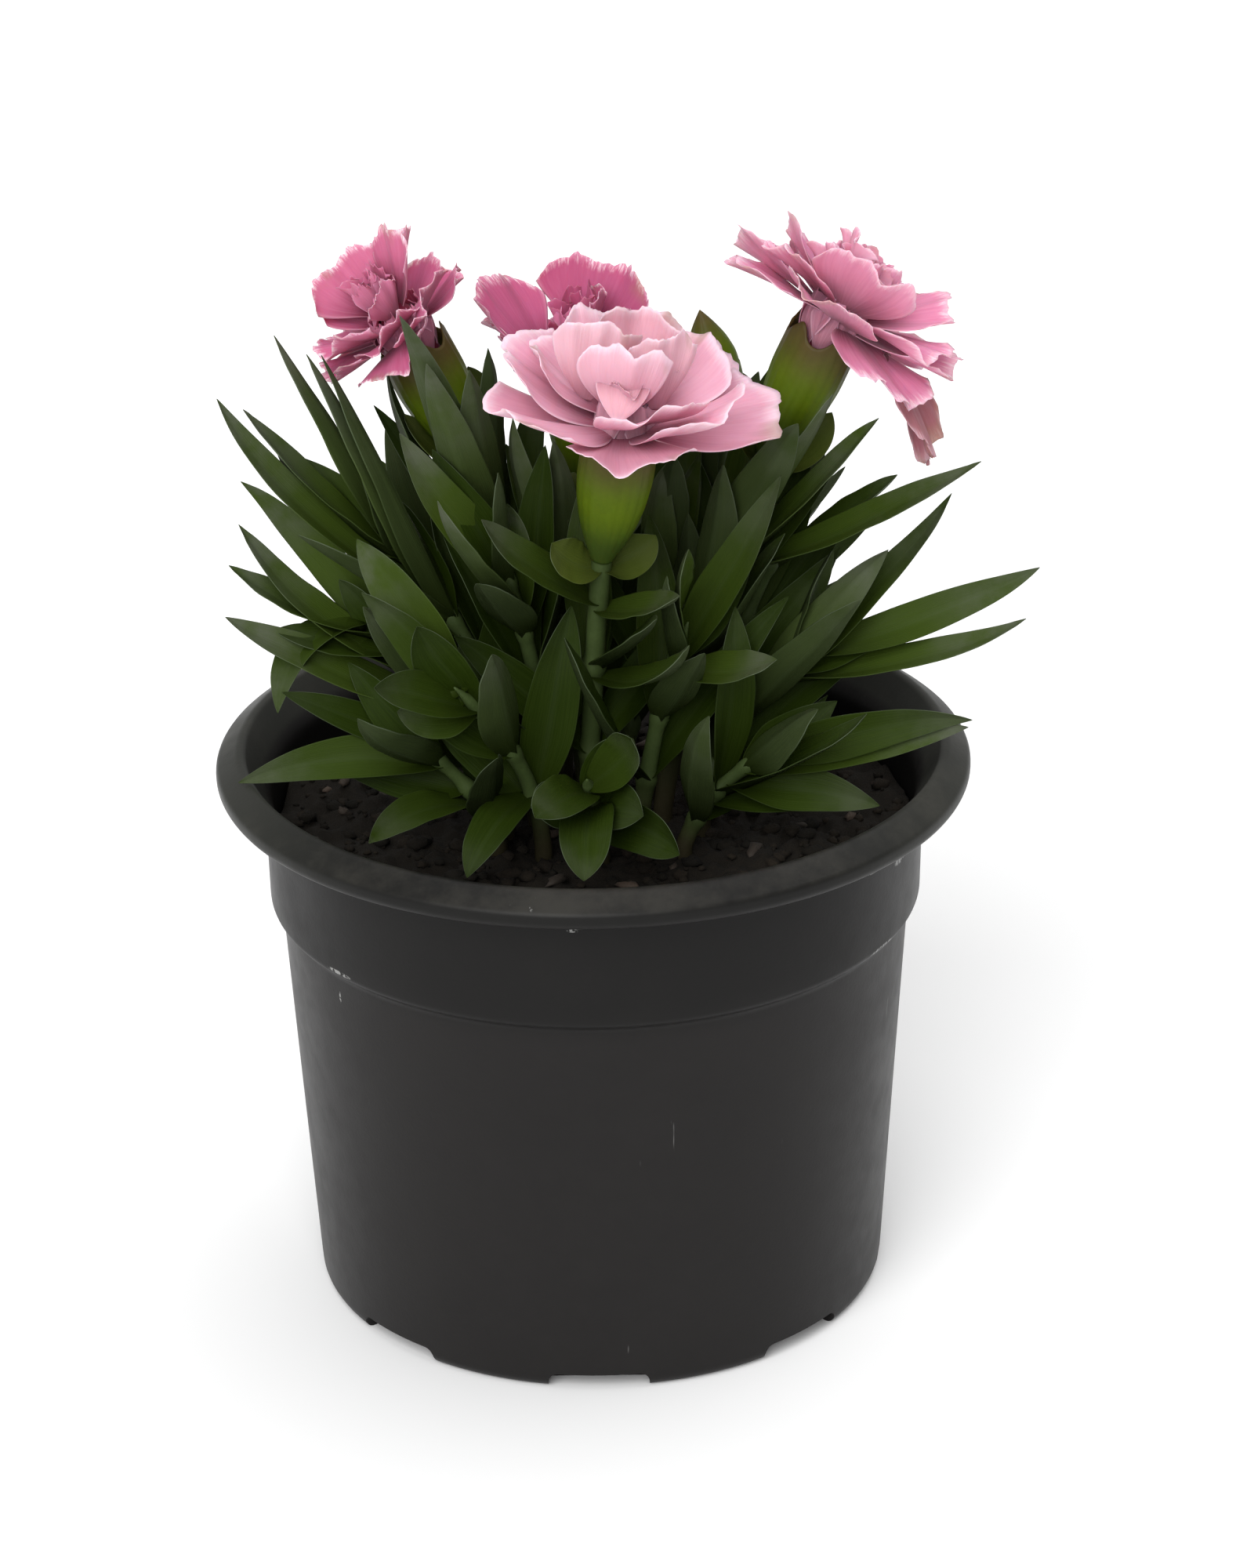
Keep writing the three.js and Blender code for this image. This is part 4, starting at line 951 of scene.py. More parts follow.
def blade_corners(blade):
    """The tip, and both edges at two stations: the corners that the solid has."""
    centre, left, face, _ = blade_frame(blade, BLADE_STATIONS)
    half = (blade["width"] / 2 * blade_width(BLADE_STATIONS, blade["taper"]))[:, None]
    raised = centre + 0.1 * half * face
    return np.concatenate([[blade["tip"]], raised + half * left, raised - half * left])


print("width at the stations:", blade_width(BLADE_STATIONS, TAPER).round(2))

# %% Find the bend that the solid shows
def solid_corners(node):
    """All corners of a solid of the model, in mm."""
    mesh = NODES[node].data
    flat = np.empty(len(mesh.vertices) * 3, np.float32)
    mesh.vertices.foreach_get("co", flat)
    return flat.reshape(-1, 3).astype(float) / MM


def settled(thing, bends, bend_it, corners_of, solid, least):
    """The thing in the bend that the solid shows, or None where it was left out."""
    best, most = None, least - 1
    for bend in bends:
        bent = bend_it(thing, bend)
        corners = corners_of(bent)
        gaps = np.linalg.norm(corners[:, None] - solid[None], axis=-1).min(1)
        found = int((gaps < FOUND_WITHIN).sum())
        if found > most:
            best, most = bent, found
    return best


print(len(solid_corners("pot")), "corners in the pot's solid")

# %% Petals as planned
CALYX_LENGTH = 20
CLAW_HEIGHT, SEAT_HEIGHT = 2.4, 3.4     # where a petal leaves the axis and is measured from, mm
RING_RISE, RING_TURN = 1.7, 31          # how much each ring is higher, mm, and turned, degrees
STEEPEST = 82                           # degrees above the bloom's plane
PETAL_THICKNESS = 0.7
PETAL_ROWS = np.array([0.6, 1.0])
PETAL_COLUMNS = np.array([-1, -0.35, 0.35, 1])


def mouth_of(bloom):
    """Middle of the calyx's mouth, the way the calyx points and the way the bloom faces."""
    shoot = next(s for s in SHOOTS if s["name"] == bloom["shoot"])
    axis = unit(shoot["flower"]["axis"])
    return np.array(shoot["head"]) + CALYX_LENGTH * axis, axis, unit(bloom.get("axis", axis))


def planned_petals(bloom, draw):
    """The petals of the heart, rings from the outermost in, then the ones that hang loose."""
    mouth, axis, facing = mouth_of(bloom)
    mouth = mouth + bloom.get("lift", 0) * axis

    def planned(turn, length, half, rise, ring, kind, aside=0):
        azimuth = math.radians(turn)
        u, v = cross_directions(facing)
        place = mouth + aside * (math.cos(azimuth) * v - math.sin(azimuth) * u)
        return dict(mouth=place, axis=facing, azimuth=azimuth, ring=ring, kind=kind,
                    start=(2, CLAW_HEIGHT + RING_RISE * ring), seat=SEAT_HEIGHT + RING_RISE * ring,
                    tilt=1.3 + 0.4 * min(ring, 3), length=length, half=half,
                    rise=math.radians(rise), phase=6.28 * draw())

    petals = [planned(*row[:5], "heart", *row[5:]) for row in bloom["heart"]]
    for ring, (count, length, half, rise, lean) in enumerate(bloom["rings"]):
        for i in range(count):
            turn = bloom["turn"] + RING_TURN * ring + 360 * (i + 0.3 * (draw() - 0.5)) / count
            petals.append(planned(
                turn, length * (0.92 + 0.14 * draw()), half * (0.9 + 0.2 * draw()),
                rise + lean * math.sin(math.radians(turn)) + 9 * (draw() - 0.5), ring, "ring"))
    for row in bloom["loose"]:
        petals.append({**planned(*row, 0, "loose"), "start": (9, 3.4)})
    return petals


print("mouth of the first calyx:", mouth_of(BLOOMS[0])[0].round(1))

# %% Bends and corners of a petal
def bent_petal(petal, bend):
    """The petal swung round the bloom, lifted and shortened."""
    swing, lift, stretch = bend
    return {**petal, "azimuth": petal["azimuth"] + math.radians(swing),
            "rise": min(petal["rise"] + math.radians(lift), math.radians(STEEPEST)),
            "length": petal["length"] * stretch}


def petal_frame(petal, v):
    """Midline, forward and normal of a petal at every v, and its sideways direction.

    The midline leaves `start`, turns at a knee beside it and ends at `length` from the seat,
    all as distance from the bloom's axis and height over the mouth.
    """
    u0, v0 = cross_directions(petal["axis"])
    c, s = math.cos(petal["azimuth"]), math.sin(petal["azimuth"])
    radial, around = c * u0 + s * v0, c * v0 - s * u0
    out = np.array([math.cos(petal["rise"]), math.sin(petal["rise"])])
    start = np.array(petal["start"], float)
    end = petal["length"] * out + [0, petal["seat"]]
    knee = start + 1 + 3 * out
    basis = np.stack([radial, petal["axis"]])
    v = np.asarray(v, float)[..., None]
    line = (1 - v) ** 2 * start + 2 * v * (1 - v) * knee + v**2 * end
    slope = unit((1 - v) * (knee - start) + v * (end - knee))
    normal = np.stack([-slope[..., 1], slope[..., 0]], -1)
    return petal["mouth"] + line @ basis, slope @ basis, normal @ basis, around


def petal_sheet(frame, sideways, back, wave):
    """Points of a petal's middle: aside of its midline, back along it and off its plane."""
    line, forward, normal, around = frame
    return (line[:, None] + sideways[..., None] * around - back[..., None] * forward[:, None]
            + wave[..., None] * normal[:, None])


def petal_corners(petal):
    """The corners that the solid petal has on its two outer rows, on both faces."""
    v, u = PETAL_ROWS[:, None], PETAL_COLUMNS[None]
    frame = petal_frame(petal, PETAL_ROWS)
    length, phase = petal["length"], petal["phase"]
    width = 1 + (petal["half"] - 1) * np.sin(np.pi / 2 * v) ** 1.5
    back = v**2 * (0.17 * length * u**2 + 0.6 + 0.6 * np.cos(7.5 * u + phase))
    wave = v**2 * (0.9 * np.sin(4.6 * u + phase) + 1.2 * u**2) + petal["tilt"] * v * u
    middle = petal_sheet(frame, width * u, back, wave)
    half = PETAL_THICKNESS / 2 * frame[2][:, None]
    return np.concatenate([(middle + half).reshape(-1, 3), (middle - half).reshape(-1, 3)])


print(PETAL_ROWS.size * PETAL_COLUMNS.size * 2, "corners to look for in a petal")

# %% Read the plant back from the solids
def read_plant():
    """Blades of every shoot and petals of every bloom, as the solids show them."""
    series = seeded_series(SEED)
    draw = series.__next__
    petals = {bloom["name"]: planned_petals(bloom, draw) for bloom in BLOOMS}
    blades = {s["name"]: bract_blades(s) if "flower" in s else [] for s in SHOOTS}
    for plan, *rows in ((reaching_blades,), (paired_blades,), (reaching_blades, "late")):
        for shoot in SHOOTS:
            blades[shoot["name"]] += plan(shoot, draw, *rows)
    for kind, plans, *rules in (("petal", petals, PETAL_BENDS, bent_petal, petal_corners),
                                ("blade", blades, BLADE_BENDS, bent_blade, blade_corners)):
        for name, planned in plans.items():
            solid = solid_corners(name)
            found = [settled(each, *rules, solid, LEAST_CORNERS[kind]) for each in planned]
            plans[name] = [each for each in found if each]
            print(name, len(plans[name]), "of", len(planned), f"{kind}s")
    return blades, petals


BLADES, PETALS = read_plant()

# %% [markdown]
# ## Stems and leaves
#
# A dianthus leaf is a narrow strap with no stalk: it clasps the stem at a swollen joint, holds
# its width, and tapers to a point.  It is folded a little along the midrib, which stands out
# below as a keel, and its margin is thin and pale.  The ring of a leaf runs over its upper face
# from one margin to the other and back along the lower face.

# %% Stems
STEM_SIDES, STEM_RINGS = 14, 60
STEM_SLIMMER = 0.88         # radius as a share of the plan's
HOLE_DEPTH = 12             # mm
JOINT_SWELL, JOINT_HEIGHT = 0.32, 1.3   # share of the radius, mm


def stem_part(shoot, joints, material):
    """A round skin along the stem, swollen where pairs of leaves sit.

    radius = 0.88 r (1 - 0.35 t on leafy shoots) (1 + swell x sum of e^-((t - joint) L / h)^2)
    Leafy shoots run out to a point in their last tenth.
    """
    curve = stem_curve(shoot)
    t = np.linspace(0, 1, STEM_RINGS)
    centres, along = curve_points(curve, t), curve_directions(curve, t)
    length = np.linalg.norm(np.diff(centres, axis=0), axis=1).sum()
    taper, point = (0, 0) if "flower" in shoot else (0.35, 0.85)
    swell = sum(np.exp(-((t - joint) * length / JOINT_HEIGHT) ** 2) for joint in joints)
    radius = (shoot["radius"] * STEM_SLIMMER * (1 - taper * t) * (1 + JOINT_SWELL * swell)
              * (1 - point * np.clip((t - 0.9) / 0.1, 0, 1)))
    foot = centres[:1] - [[0, 0, HOLE_DEPTH]]
    centres = np.concatenate([foot, centres])
    along = np.concatenate([[[0, 0, 1]], along])
    radius = np.concatenate([radius[:1], radius])[:, None, None]
    u, v = cross_directions(along)
    angle = full_turn(STEM_SIDES)[..., None]
    points = centres[:, None] + radius * (np.cos(angle) * u[:, None] + np.sin(angle) * v[:, None])
    marks = np.concatenate([[0], t])[:, None]
    return skin(points, material, along=marks, tint=shoot["turn"] / 90)


print(STEM_RINGS + 1, "rings of", STEM_SIDES, "points in a stem")

# %% Leaves
LEAF_ROWS, LEAF_COLUMNS = 30, 11
LEAF_EDGE, LEAF_MIDDLE, LEAF_KEEL = 0.16, 0.42, 0.62    # thickness in mm
LEAF_FOLD = 0.3             # how steeply the halves of a leaf rise from the midrib
LEAF_WIDER = 1.1            # how much wider than the solid's, so that the clump looks full
LEAF_TINTS = {              # least tint and how much chance adds; the tall leaves get most light
    "reaching": (0.4, 0.6), "paired": (0.0, 0.5), "bract": (0.5, 0.3),
}
LOW, HIGH = 80, 140         # heights in mm between which a leaf's tip comes into the light
INSIDE, OUTSIDE = 35, 75    # the same for its distance from the middle


def leaf_part(blade, material, draw):
    """A leaf: s runs from margin to margin and t from the stem to the tip.

    height over the centre line = half (fold |s|^1.4 - 0.12) + a slow wave of the margins
    thickness = edge + (middle - edge)(1 - s^2) + keel e^-(s / 0.16)^2, less towards the tip
    The last third curls by curl x length x (t - 0.66)^2.
    """
    t = 1 - (1 - np.linspace(0, 1, LEAF_ROWS)) ** 1.35
    centre, left, face, length = blade_frame(blade, t)
    s = np.sin(np.linspace(-np.pi / 2, np.pi / 2, LEAF_COLUMNS))[None]
    t = t[:, None]
    taper = blade["taper"] * (0.85 + 0.4 * draw())
    root = 0.32 + 0.68 * np.sin(np.pi * np.minimum(t / 0.84, 0.5)) ** 0.8
    half = LEAF_WIDER * blade["width"] / 2 * root * np.maximum(1 - t**taper, 0) ** 0.95 + 0.05
    salt = 40 * draw()
    wander = 0.035 * length * noise(t * 3, 0 * t + salt, 1, 5) * t
    ripple = 0.16 * noise(t * 9, np.sign(s) * 3 + salt, 1, 6) * np.abs(s) ** 2 * (half > 0.6)
    curl = (0.9 * draw() - 0.35) * length * np.maximum(t - 0.66, 0) ** 2
    upper = half * (LEAF_FOLD * np.abs(s) ** 1.4 - 0.12) + ripple + curl
    ease = 1 - 0.5 * t
    thick = (LEAF_EDGE + (LEAF_MIDDLE - LEAF_EDGE) * (1 - s**2)
             + LEAF_KEEL * ease * np.exp(-(s / 0.16) ** 2)) * (1 - 0.85 * t**8)
    groove = 0.14 * ease * np.exp(-(s / 0.1) ** 2)
    side = (half * s + wander * (1 - t))[..., None] * left[:, None]
    over = centre[:, None] + side + (upper - groove)[..., None] * face[:, None]
    under = centre[:, None] + side + (upper - thick)[..., None] * face[:, None]
    x, y, z = blade["tip"]
    # painted light: a leaf whose tip is low or near the middle of the clump gets a lower tint, so a
    # darker colour
    lit = (z - LOW) / (HIGH - LOW) + max(math.hypot(x, y) - INSIDE, 0) / (OUTSIDE - INSIDE)
    tint = LEAF_TINTS[blade["kind"]][0] + LEAF_TINTS[blade["kind"]][1] * draw()
    tint *= min(max(lit, 0.25), 1)
    return two_faced(over, under, s, material, along=t, tint=tint)


print(LEAF_ROWS, "rings of", 2 * LEAF_COLUMNS, "points in a leaf")

# %% [markdown]
# ## Calyx and bud
#
# The calyx is a green tube, narrow at its foot and wide at its mouth, with five teeth between
# which the petals come out.  Fine ribs run up it.  A bud is the same tube, still closed to a
# point.

# %% Calyx
CALYX_PROFILE = [(-1, 1.7), (1, 2.5), (3, 3.4), (6, 4.4), (10, 5.3), (14, 5.75), (20, 5.75)]
CALYX_MOUTH = (15, 20), (4.4, 5.4)      # heights and inner radii of the mouth, mm
CALYX_TOOTH = 2.6
CALYX_RIB = 0.1
CALYX_SIDES, CALYX_RINGS, MOUTH_RINGS = 60, 40, 8


def smooth_line(x, stations, values):
    """Straight pieces between stations, smoothed by three passes of a running mean."""
    y = np.interp(x, stations, values)
    for _ in range(3):
        y[1:-1] = (y[:-2] + y[1:-1] + y[2:]) / 3
    return y


def axial_part(base, axis, angle, radius, rise, material, **marks):
    """Points at an angle, radius and height about an axis: base + h axis + r (cos u + sin v)."""
    u, v = cross_directions(axis)
    points = (base + rise[..., None] * axis
              + radius[..., None] * (np.cos(angle)[..., None] * u + np.sin(angle)[..., None] * v))
    return skin(points, material, **marks)


def calyx_part(shoot, material, draw):
    """Up the outside, over the teeth and down the inside.

    The radius follows a smooth line through the profile; five teeth lift the mouth by
    tooth (0.5 + 0.5 cos 5a)^1.5, and twenty ribs stand out by rib cos 20a.
    """
    base, axis = np.array(shoot["head"], float), unit(shoot["flower"]["axis"])
    height, radius = np.array(CALYX_PROFILE, float).T
    h = np.linspace(height[0], height[-1], CALYX_RINGS)
    r = smooth_line(h, height, radius)
    inner = np.linspace(height[-1], CALYX_MOUTH[0][0], MOUTH_RINGS)
    h, r = np.concatenate([h, inner]), np.concatenate([r, np.interp(inner, *CALYX_MOUTH)])
    inside = np.arange(len(h)) >= CALYX_RINGS
    angle = full_turn(CALYX_SIDES)
    teeth = CALYX_TOOTH * (0.5 + 0.5 * np.cos(5 * angle)) ** 1.5
    lift = np.clip((h - 12) / 8, 0, 1)[:, None] ** 2
    ribs = CALYX_RIB * np.cos(20 * angle) * (~inside * np.clip(h / 6, 0, 1))[:, None]
    lean = -0.25 * lift * teeth / CALYX_TOOTH
    radius = r[:, None] + ribs + lean * (~inside)[:, None]
    rise = h[:, None] + lift * teeth
    return axial_part(base, axis, angle, radius, rise, material, along=h[:, None] / CALYX_LENGTH,
                      tint=draw(), across=lift * teeth / CALYX_TOOTH)


print(CALYX_RINGS + MOUTH_RINGS, "rings of", CALYX_SIDES, "points in a calyx")

# %% Bud
BUD_PROFILE = [(-1, 1.7), (1, 2.7), (3, 3.7), (6, 4.3), (10, 4.2), (13, 3.2), (16, 1.5), (18, 0.1)]
BUD_RINGS = 44


def bud_part(shoot, material, draw):
    """A closed bud: five folded flaps wind round it, so its ring has five shallow steps."""
    base, axis = np.array(shoot["head"], float), unit(shoot["flower"]["axis"])
    height, radius = np.array(BUD_PROFILE, float).T
    h = np.linspace(height[0], height[-1], BUD_RINGS)
    r = smooth_line(h, height, radius)[:, None]
    angle = full_turn(CALYX_SIDES)
    wound = (5 * angle + 0.12 * h[:, None]) / (2 * np.pi)
    flap = wound - np.floor(wound)
    radius = r * (1 + 0.09 * (flap - 0.5) * np.clip(h / 10, 0, 1)[:, None])
    return axial_part(base, axis, angle, radius, h[:, None] + 0 * angle, material,
                      along=h[:, None] / height[-1], tint=draw(), across=flap)


print(BUD_RINGS, "rings of", CALYX_SIDES, "points in a bud")

# %% [markdown]
# Leaves are olive green with a waxy bloom that turns their outer halves grey; that grey is also a
# painted sheen, strongest on the leaves that stand in the light.  Towards the stem they are dark,
# a painted shade, since little light comes there; the tall ones and the ones at the outside of the
# clump get a fresher, lighter colour than the ones inside it, which is painted light, and tips have
# a thin pale rim that is partly a painted highlight.  All of that is driven by the marks.  A stem
# is browner at its foot, and a calyx turns from a fresh yellow green to a reddish brown at its
# teeth.

# %% Finish of leaves and stems
# painted light in these colours: the first is painted shade, the fresh one is also the lit one, the
# waxy grey is also a painted sheen, and the last is painted shade deep in the clump
LEAF_SHADES = {             # in the shade, fresh, waxy, and deep in the clump
    "dianthus leaf": ((0.014, 0.026, 0.0022), (0.042, 0.068, 0.009), (0.094, 0.103, 0.076),
                      (0.0115, 0.0195, 0.0014)),
    "dianthus bract": ((0.034, 0.050, 0.008), (0.066, 0.088, 0.012), (0.075, 0.088, 0.030),
                       (0.022, 0.030, 0.005)),
}
LEAF_MARGIN = (0.11, 0.14, 0.09)


def make_leaf_material(name, shade, fresh_and_lit, waxy_and_sheen, deep):
    """Waxy grey-green with painted sheen, painted shade to the stem, paler tip, margin, underside.
    """
    material, tree, shader = new_material(name, Roughness=0.5, Specular_IOR_Level=0.04)
    marks = along, across, tint = [mark_of(tree, mark) for mark in MARKS[:3]]
    veins = mark_noise(tree, marks, (3.0, 26.0, 31.0), 2.0, 0.5)
    # the waxy bloom, which is also a painted sheen, stronger on leaves with a high tint
    wax_and_sheen = product(tree, ramp(tree, along, 0.45, 1.0, 0.0, 0.95),
                  ramp(tree, noise_node(tree, 160.0), 0.25, 0.7))
    out = math_node(tree, "ABSOLUTE", across)
    # a pale margin near the tip, partly a painted highlight
    rim_and_highlight = product(tree, ramp(tree, out, 0.95, 1.0), ramp(tree, along, 0.55, 1.0, 0.06, 0.7))
    # painted light: the fresh colour, mixed in by tint, is also the colour of leaves in the light
    colour = layered(
        tree, shade, (ramp(tree, tint, 0.05, 1.0, 0.0, 0.85), fresh_and_lit),
        (product(tree, wax_and_sheen, ramp(tree, tint, 0.1, 0.9, 0.12, 1.0)), waxy_and_sheen),
        (ramp(tree, veins, 0.35, 0.7, 0.0, 0.18), fresh_and_lit),
        (ramp(tree, out, 0.2, 0.0, 0.0, 0.03), LEAF_MARGIN), (rim_and_highlight, LEAF_MARGIN),
        (product(tree, mark_of(tree, "edge"), 0.15), waxy_and_sheen),
        # painted shade: the foot of each leaf turns to the deep colour
        (ramp(tree, along, 0.0, 0.5, 0.75, 0.0), deep))
    feed(tree, shader.inputs["Roughness"], ramp(tree, veins, 0.3, 0.7, 0.4, 0.55))
    surface(tree, shader, colour, veins, 0.00008, 0.7)
    return material


LEAF, BRACT = (make_leaf_material(name, *shades) for name, shades in LEAF_SHADES.items())
STEM = plain_material(
    "dianthus stem", "along", (0.03, 0.026, 0.013), [((0.0, 0.35), (0.045, 0.068, 0.02))],
    (400.0, 0.2), (0.00008, 0.5), Roughness=0.5, Specular_IOR_Level=0.15)
CALYX = plain_material(
    "green calyx", "along", (0.035, 0.058, 0.008),
    [((0.1, 0.55), (0.075, 0.115, 0.004)), ((0.6, 1.0, 0.0, 0.85), (0.070, 0.042, 0.018))],
    (300.0, 0.15), (0.00006, 0.5), Roughness=0.45, Specular_IOR_Level=0.12,
    Subsurface_Weight=0.1, Subsurface_Scale=0.002)
print("finishes:", *(finish.name for finish in (LEAF, BRACT, STEM, CALYX)))

# %% Grow the shoots
def grow_shoot(shoot, draw):
    """Stem and leaves in one piece, and the calyx or bud in another."""
    name = shoot["name"]
    joints = [leaf_place(shoot, pair)[0] for pair in range(shoot["pairs"])]
    parts = [stem_part(shoot, joints, 1)]
    parts += [leaf_part(blade, 2 if blade["kind"] == "bract" else 0, draw)
              for blade in BLADES[name]]
    grown = add_piece(f"{name}_leaves", parts, [LEAF, STEM, BRACT], name)
    faces = len(grown.data.polygons)
    if "flower" in shoot:
        opened = any(bloom["shoot"] == name for bloom in BLOOMS)
        tube = (calyx_part if opened else bud_part)(shoot, 0, draw)
        add_piece(f"{name}_{'calyx' if opened else 'bud'}", [tube], [CALYX], name)
    return faces


leaf_series = seeded_series(LEAF_SEED)
for shoot in SHOOTS:
    print(shoot["name"], grow_shoot(shoot, leaf_series.__next__), "faces")

# %% [markdown]
# ## Blooms
#
# A double dianthus bloom is a stack of rings of petals.  Each petal has a narrow claw down in the
# calyx and a fan-shaped blade with a waved, finely cut margin.  The outer ones lie almost flat
# and the inner ones stand up and crowd together into a ruffled dome.  Small folded petals fill
# the heart, and narrow claws stand in the mouth of the calyx.

# %% Styles of the blooms
BLOOM_STYLES = {            # depth of teeth, ruffles, curl and folds, fall of the corners, small
    # petals in the heart, and colours, from the palest bloom to the darkest
    # the bloom at the back is darker partly as painted shade, since it stands behind the others
    "bloom_front": dict(
        teeth=0.6, ruffle=0.6, curl=1.3, fold=2.5, corner=0.08, folded=8, colours=dict(
            deep=(0.20, 0.012, 0.045), pink=(0.69, 0.33, 0.44), pale=(0.86, 0.60, 0.69),
            heart=(0.71, 0.40, 0.46), fray=0.4, veined=0.1, throat=0.76)),
    "bloom_right": dict(
        teeth=1.0, ruffle=0.8, curl=0.3, fold=1.2, corner=0.2, folded=10, colours=dict(
            deep=(0.14, 0.006, 0.025), pink=(0.63, 0.21, 0.355), pale=(0.80, 0.44, 0.55),
            heart=(0.71, 0.31, 0.43), fray=0.8, throat=0.82)),
    "bloom_left": dict(
        teeth=1.3, ruffle=1.1, curl=0.3, fold=1.4, corner=0.2, folded=4, colours=dict(
            deep=(0.11, 0.005, 0.02), pink=(0.48, 0.105, 0.22), pale=(0.66, 0.30, 0.41),
            heart=(0.50, 0.13, 0.24), fray=0.9, veined=0.12, throat=0.78)),
    "bloom_middle": dict(
        teeth=1.0, ruffle=0.8, curl=0.3, fold=1.4, corner=0.2, folded=4, colours=dict(
            deep=(0.11, 0.005, 0.02), pink=(0.40, 0.075, 0.17), pale=(0.60, 0.24, 0.36),
            heart=(0.41, 0.085, 0.185), fray=0.8, veined=0.1)),
}
# the petals that hang loose are faded; frayed margins bleach and spots wilt
FADED = dict(deep=(0.16, 0.03, 0.05), pink=(0.33, 0.075, 0.12), pale=(0.48, 0.25, 0.29),
             heart=(0.33, 0.13, 0.15), fray=0.3)
FRAYED, WILTED = (0.82, 0.62, 0.68), (0.30, 0.19, 0.12)
CLAWS = 7                   # narrow petals in the mouth of each calyx
HEART_RADIUS, HEART_HEIGHT, HEART_SIDES = 3.6, 8.5, 24
print(len(BLOOM_STYLES), "styles")

# %% Petals
PETAL_ROWS_FINE, PETAL_COLUMNS_FINE = 28, 41
PETAL_SHEET = 0.34          # thickness of the blade of a petal, mm
# painted light: inner petals face the front and get less light, so more heart colour is put on
# them; the high least tints of heart and folded petals do the same
INNER_PALER = 0.2           # added to the tint of a petal for every ring outside its own
PETAL_KINDS = {             # least tint, what chance adds, fold and curl as shares of the bloom's,
    # and how much of the way from throat to margin its colours run
    "ring": (0.0, 0.4, 0.0, 1.0, 1), "heart": (0.65, 0.35, 1.0, -0.6, 1),
    "loose": (0.0, 1.0, 0.6, 0.0, 1), "folded": (0.5, 0.5, 1.3, -1.0, 0.9),
    "claw": (0.0, 0.3, 0.2, 0.5, 0.45),
}


def petal_part(petal, style, draw, material=0):
    """A petal: u runs across it from -1 to 1 and v from the claw to the margin.

    The midline is that of the solid petal, and the width, the fall of the margin and the slow
    wave are close to its own.  Added to them: corners rounded by c L u^6, ruffles that grow
    towards the margin, fine teeth cut into it, a margin that curls by `curl`, and sides folded
    up by fold v |u|^1.5.  A petal that droops over the heart is a drop: half width =
    1.9 h v^0.45 (1 - v)^0.75.
    """
    tint, chance, fold, bent, depth = PETAL_KINDS[petal["kind"]]
    fold *= style["fold"] * (1 if petal["rise"] > 0 else -0.8)
    v = np.linspace(0, 1, PETAL_ROWS_FINE) ** 0.9
    u = np.sin(np.linspace(-1.25, 1.25, PETAL_COLUMNS_FINE))[None] / math.sin(1.25)
    frame = petal_frame(petal, v)
    v = v[:, None]
    length, phase = petal["length"], petal["phase"]
    salt = 50 * draw()
    droop = float(petal["kind"] == "heart" and petal["rise"] < 0)
    width = 1 + (petal["half"] - 1) * np.sin(np.pi / 2 * v) ** 1.3
    width += droop * (0.1 + 1.9 * petal["half"] * v**0.45 * (1 - v) ** 0.75 - width)
    teeth = style["teeth"] * (0.5 + 0.5 * noise(u * 11, 0 * u + salt, 1, 7)
                              + 0.6 * np.abs(noise(u * 27, 0 * u + salt, 1, 8)))
    rounded = length * (0.17 * u**2 + style["corner"] * u**6)
    back = (1 - droop) * (v**2 * (rounded + 0.5 + 0.5 * np.cos(7.5 * u + phase)) + v**9 * teeth)
    ruffle = style["ruffle"] * (0.6 * np.sin(9.5 * u + 2.3 * phase)
                                + 0.5 * noise(u * 5, v * 1.5 + salt, 1, 9))
    fine = 0.4 * style["ruffle"] * noise(u * 13, v * 3 + salt, 1, 10)
    wave = (v**2 * (0.9 * np.sin(4.6 * u + phase) + 1.2 * u**2) + petal["tilt"] * v * u
            + v**3 * ruffle + v**6 * fine + bent * style["curl"] * v**6
            + fold * v * np.abs(u) ** 1.5) * (1 - droop * v)
    sheet = PETAL_SHEET * np.sqrt(np.clip(1 - u**8, 0.02, 1)) * (1.3 - 0.6 * v) * (1 - 0.7 * v**20)
    middle = petal_sheet(frame, width * u, back, wave)
    half = (sheet / 2)[..., None] * frame[2][:, None]
    tint += chance * draw() + INNER_PALER * petal.get("ring", 0) * (petal["kind"] == "ring")
    return two_faced(middle + half, middle - half, u, material, along=depth * v, tint=tint)


print(PETAL_ROWS_FINE, "rings of", 2 * PETAL_COLUMNS_FINE, "points in a petal")

# %% Petals of the heart and claws
def heart_petals(bloom, draw):
    """Small folded petals that crowd the heart, and the claws in the calyx's mouth.

    The folded ones stand 2.4 radians apart; the later they come, the longer and flatter.
    """
    mouth, axis, facing = mouth_of(bloom)
    lifted = mouth + bloom.get("lift", 0) * axis
    petals = []
    folded = BLOOM_STYLES[bloom["name"]]["folded"]
    for i in range(folded):
        share = (i + 0.5) / folded
        petals.append(dict(
            mouth=lifted, axis=facing, azimuth=2.4 * i + 0.8 * draw(), kind="folded",
            start=(0.6 + 1.2 * share, 6.0), seat=8.5 - 2 * share, tilt=3 * (draw() - 0.5),
            length=5.5 + 3.5 * share + 2 * draw(), half=2.8 + 1.8 * draw(),
            rise=math.radians(80 - 30 * share + 14 * (draw() - 0.5)), phase=6.28 * draw()))
    for i in range(CLAWS):
        petals.append(dict(
            mouth=mouth, axis=axis, azimuth=2 * math.pi * (i + 0.3 * draw()) / CLAWS, kind="claw",
            start=(3.2, -1.0), seat=1.5, tilt=0.8 * (draw() - 0.5), length=7.5 + 2 * draw(),
            half=3.5, rise=math.radians(66), phase=6.28 * draw()))
    return petals


print(sum(style["folded"] for style in BLOOM_STYLES.values()), "folded petals in the hearts")

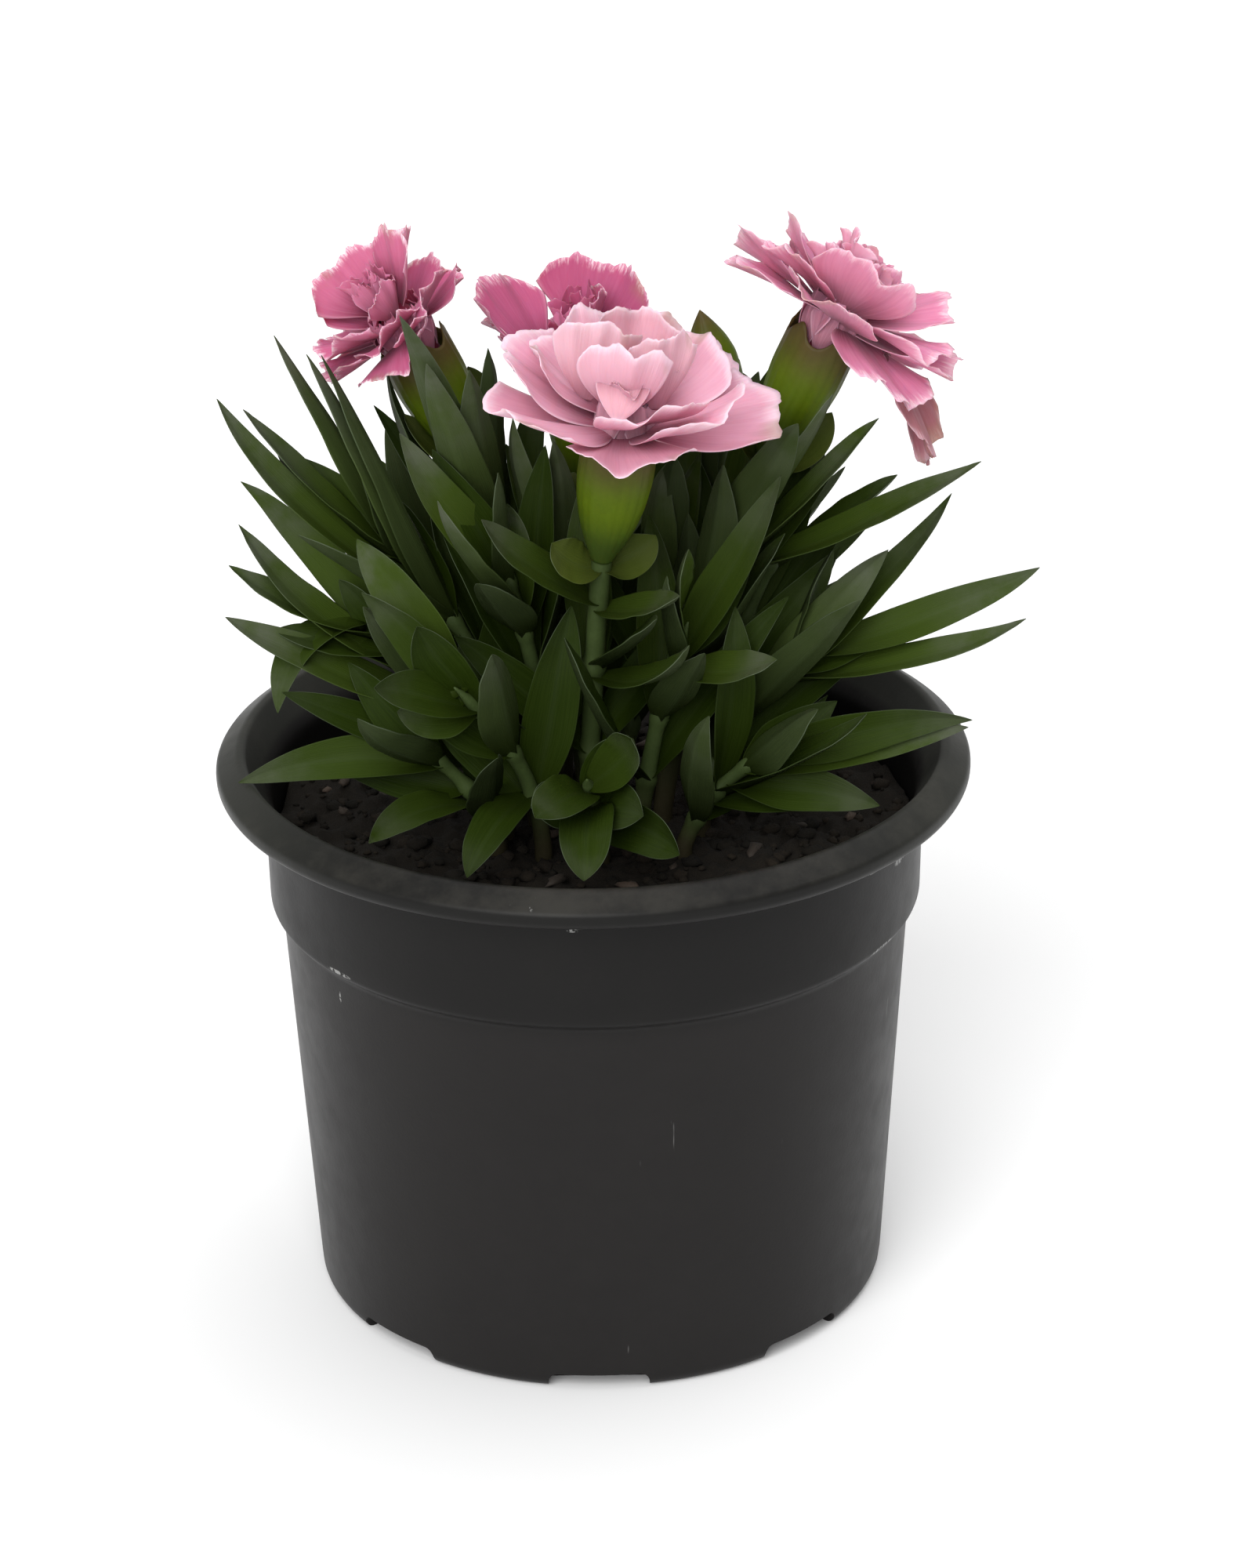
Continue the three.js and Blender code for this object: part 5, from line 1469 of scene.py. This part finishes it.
# %% Finish of petals
def make_petal_material(name, deep, pink, pale, heart, fray, veined=0.2, throat=0.66):
    """Soft pink: crimson to the throat, partly painted shade; a paler frayed margin, veins and
    spots.
    """
    material, tree, shader = new_material(
        name, Roughness=0.62, Specular_IOR_Level=0.12, Sheen_Weight=0.08, Sheen_Roughness=0.45,
        Sheen_Tint=(1, 0.8, 0.9, 1), Subsurface_Weight=0.2, Subsurface_Scale=0.0015)
    marks = along, across, tint = [mark_of(tree, mark) for mark in MARKS[:3]]
    veins = mark_noise(tree, marks, (2.5, 17.0, 23.0), 3.0, 0.6)
    broken = mark_noise(tree, marks, (7.0, 26.0, 41.0), 4.0, 0.7)
    spots = mark_noise(tree, marks, (1.6, 1.8, 67.0), 2.0, 0.5)
    margin = math_node(tree, "MAXIMUM", ramp(tree, along, 0.9, 1.0, 0.0, 0.8),
                       ramp(tree, math_node(tree, "ABSOLUTE", across), 0.93, 1.0, 0.0, 0.7))
    frayed = product(tree, ramp(tree, along, 0.86, 0.98, 0.0, fray), ramp(tree, broken, 0.45, 0.62))
    wilted = product(tree, ramp(tree, along, 0.72, 1.0, 0.0, 0.55), ramp(tree, spots, 0.6, 0.7))
    # painted light: the paler heart colour, mixed in by tint, lightens the inner petals that face
    # the front; chance in the tint varies it too
    colour = layered(tree, pink, (ramp(tree, tint, 0.35, 0.85), heart))
    # crimson towards the claw: partly the petal's own throat, partly painted shade that darkens the
    # gaps between petals; claws and the small heart are nearly all of it
    colour = layered(
        tree, deep, (ramp(tree, along, 0.05, throat), colour),
        (ramp(tree, veins, 0.4, 0.75, 0.0, veined), pale),
        (ramp(tree, veins, 0.5, 0.25, 0.0, veined / 2), deep), (margin, pale), (frayed, FRAYED),
        (wilted, WILTED), (product(tree, mark_of(tree, "edge"), 0.3), pale))
    surface(tree, shader, colour, veins, 0.00012, 0.6)
    return material


FADED_PETAL = make_petal_material("faded petals", **FADED)
print("finish ready:", FADED_PETAL.name)

# %% Open the blooms
def heart_part(bloom):
    """The small rounded heart that the inner petals grow round, with its root in the calyx."""
    mouth, axis, _ = mouth_of(bloom)
    h = HEART_HEIGHT * np.array([-0.53, 0, 0.25, 0.5, 0.7, 0.85, 0.95, 1])[:, None]
    r = HEART_RADIUS * np.array([1.08, 1.0, 0.97, 0.95, 0.85, 0.6, 0.35, 0.02])[:, None]
    angle = full_turn(HEART_SIDES)
    # its colour is the deep crimson all over, which is partly painted shade in the middle of the
    # bloom
    return axial_part(mouth, axis, angle, r + 0.15 * np.cos(5 * angle), h + 0 * angle, 0,
                      along=0.0, tint=0.5)


def open_bloom(bloom, draw):
    """All petals of one bloom and its heart, in one piece."""
    style = BLOOM_STYLES[bloom["name"]]
    parts = [heart_part(bloom)]
    parts += [petal_part(petal, style, draw, int(petal["kind"] == "loose"))
              for petal in PETALS[bloom["name"]] + heart_petals(bloom, draw)]
    finish = make_petal_material(f"{bloom['name']} petals", **style["colours"])
    return add_piece(f"{bloom['name']}_petals", parts, [finish, FADED_PETAL],
                     bloom["name"])


petal_series = seeded_series(PETAL_SEED)
for bloom in BLOOMS:
    opened = open_bloom(bloom, petal_series.__next__)
    print(bloom["name"], len(opened.data.polygons), "faces")

# %% [markdown]
# ## Finish
#
# The last step only prints a closing line.

# %% Finish
print("scene built")
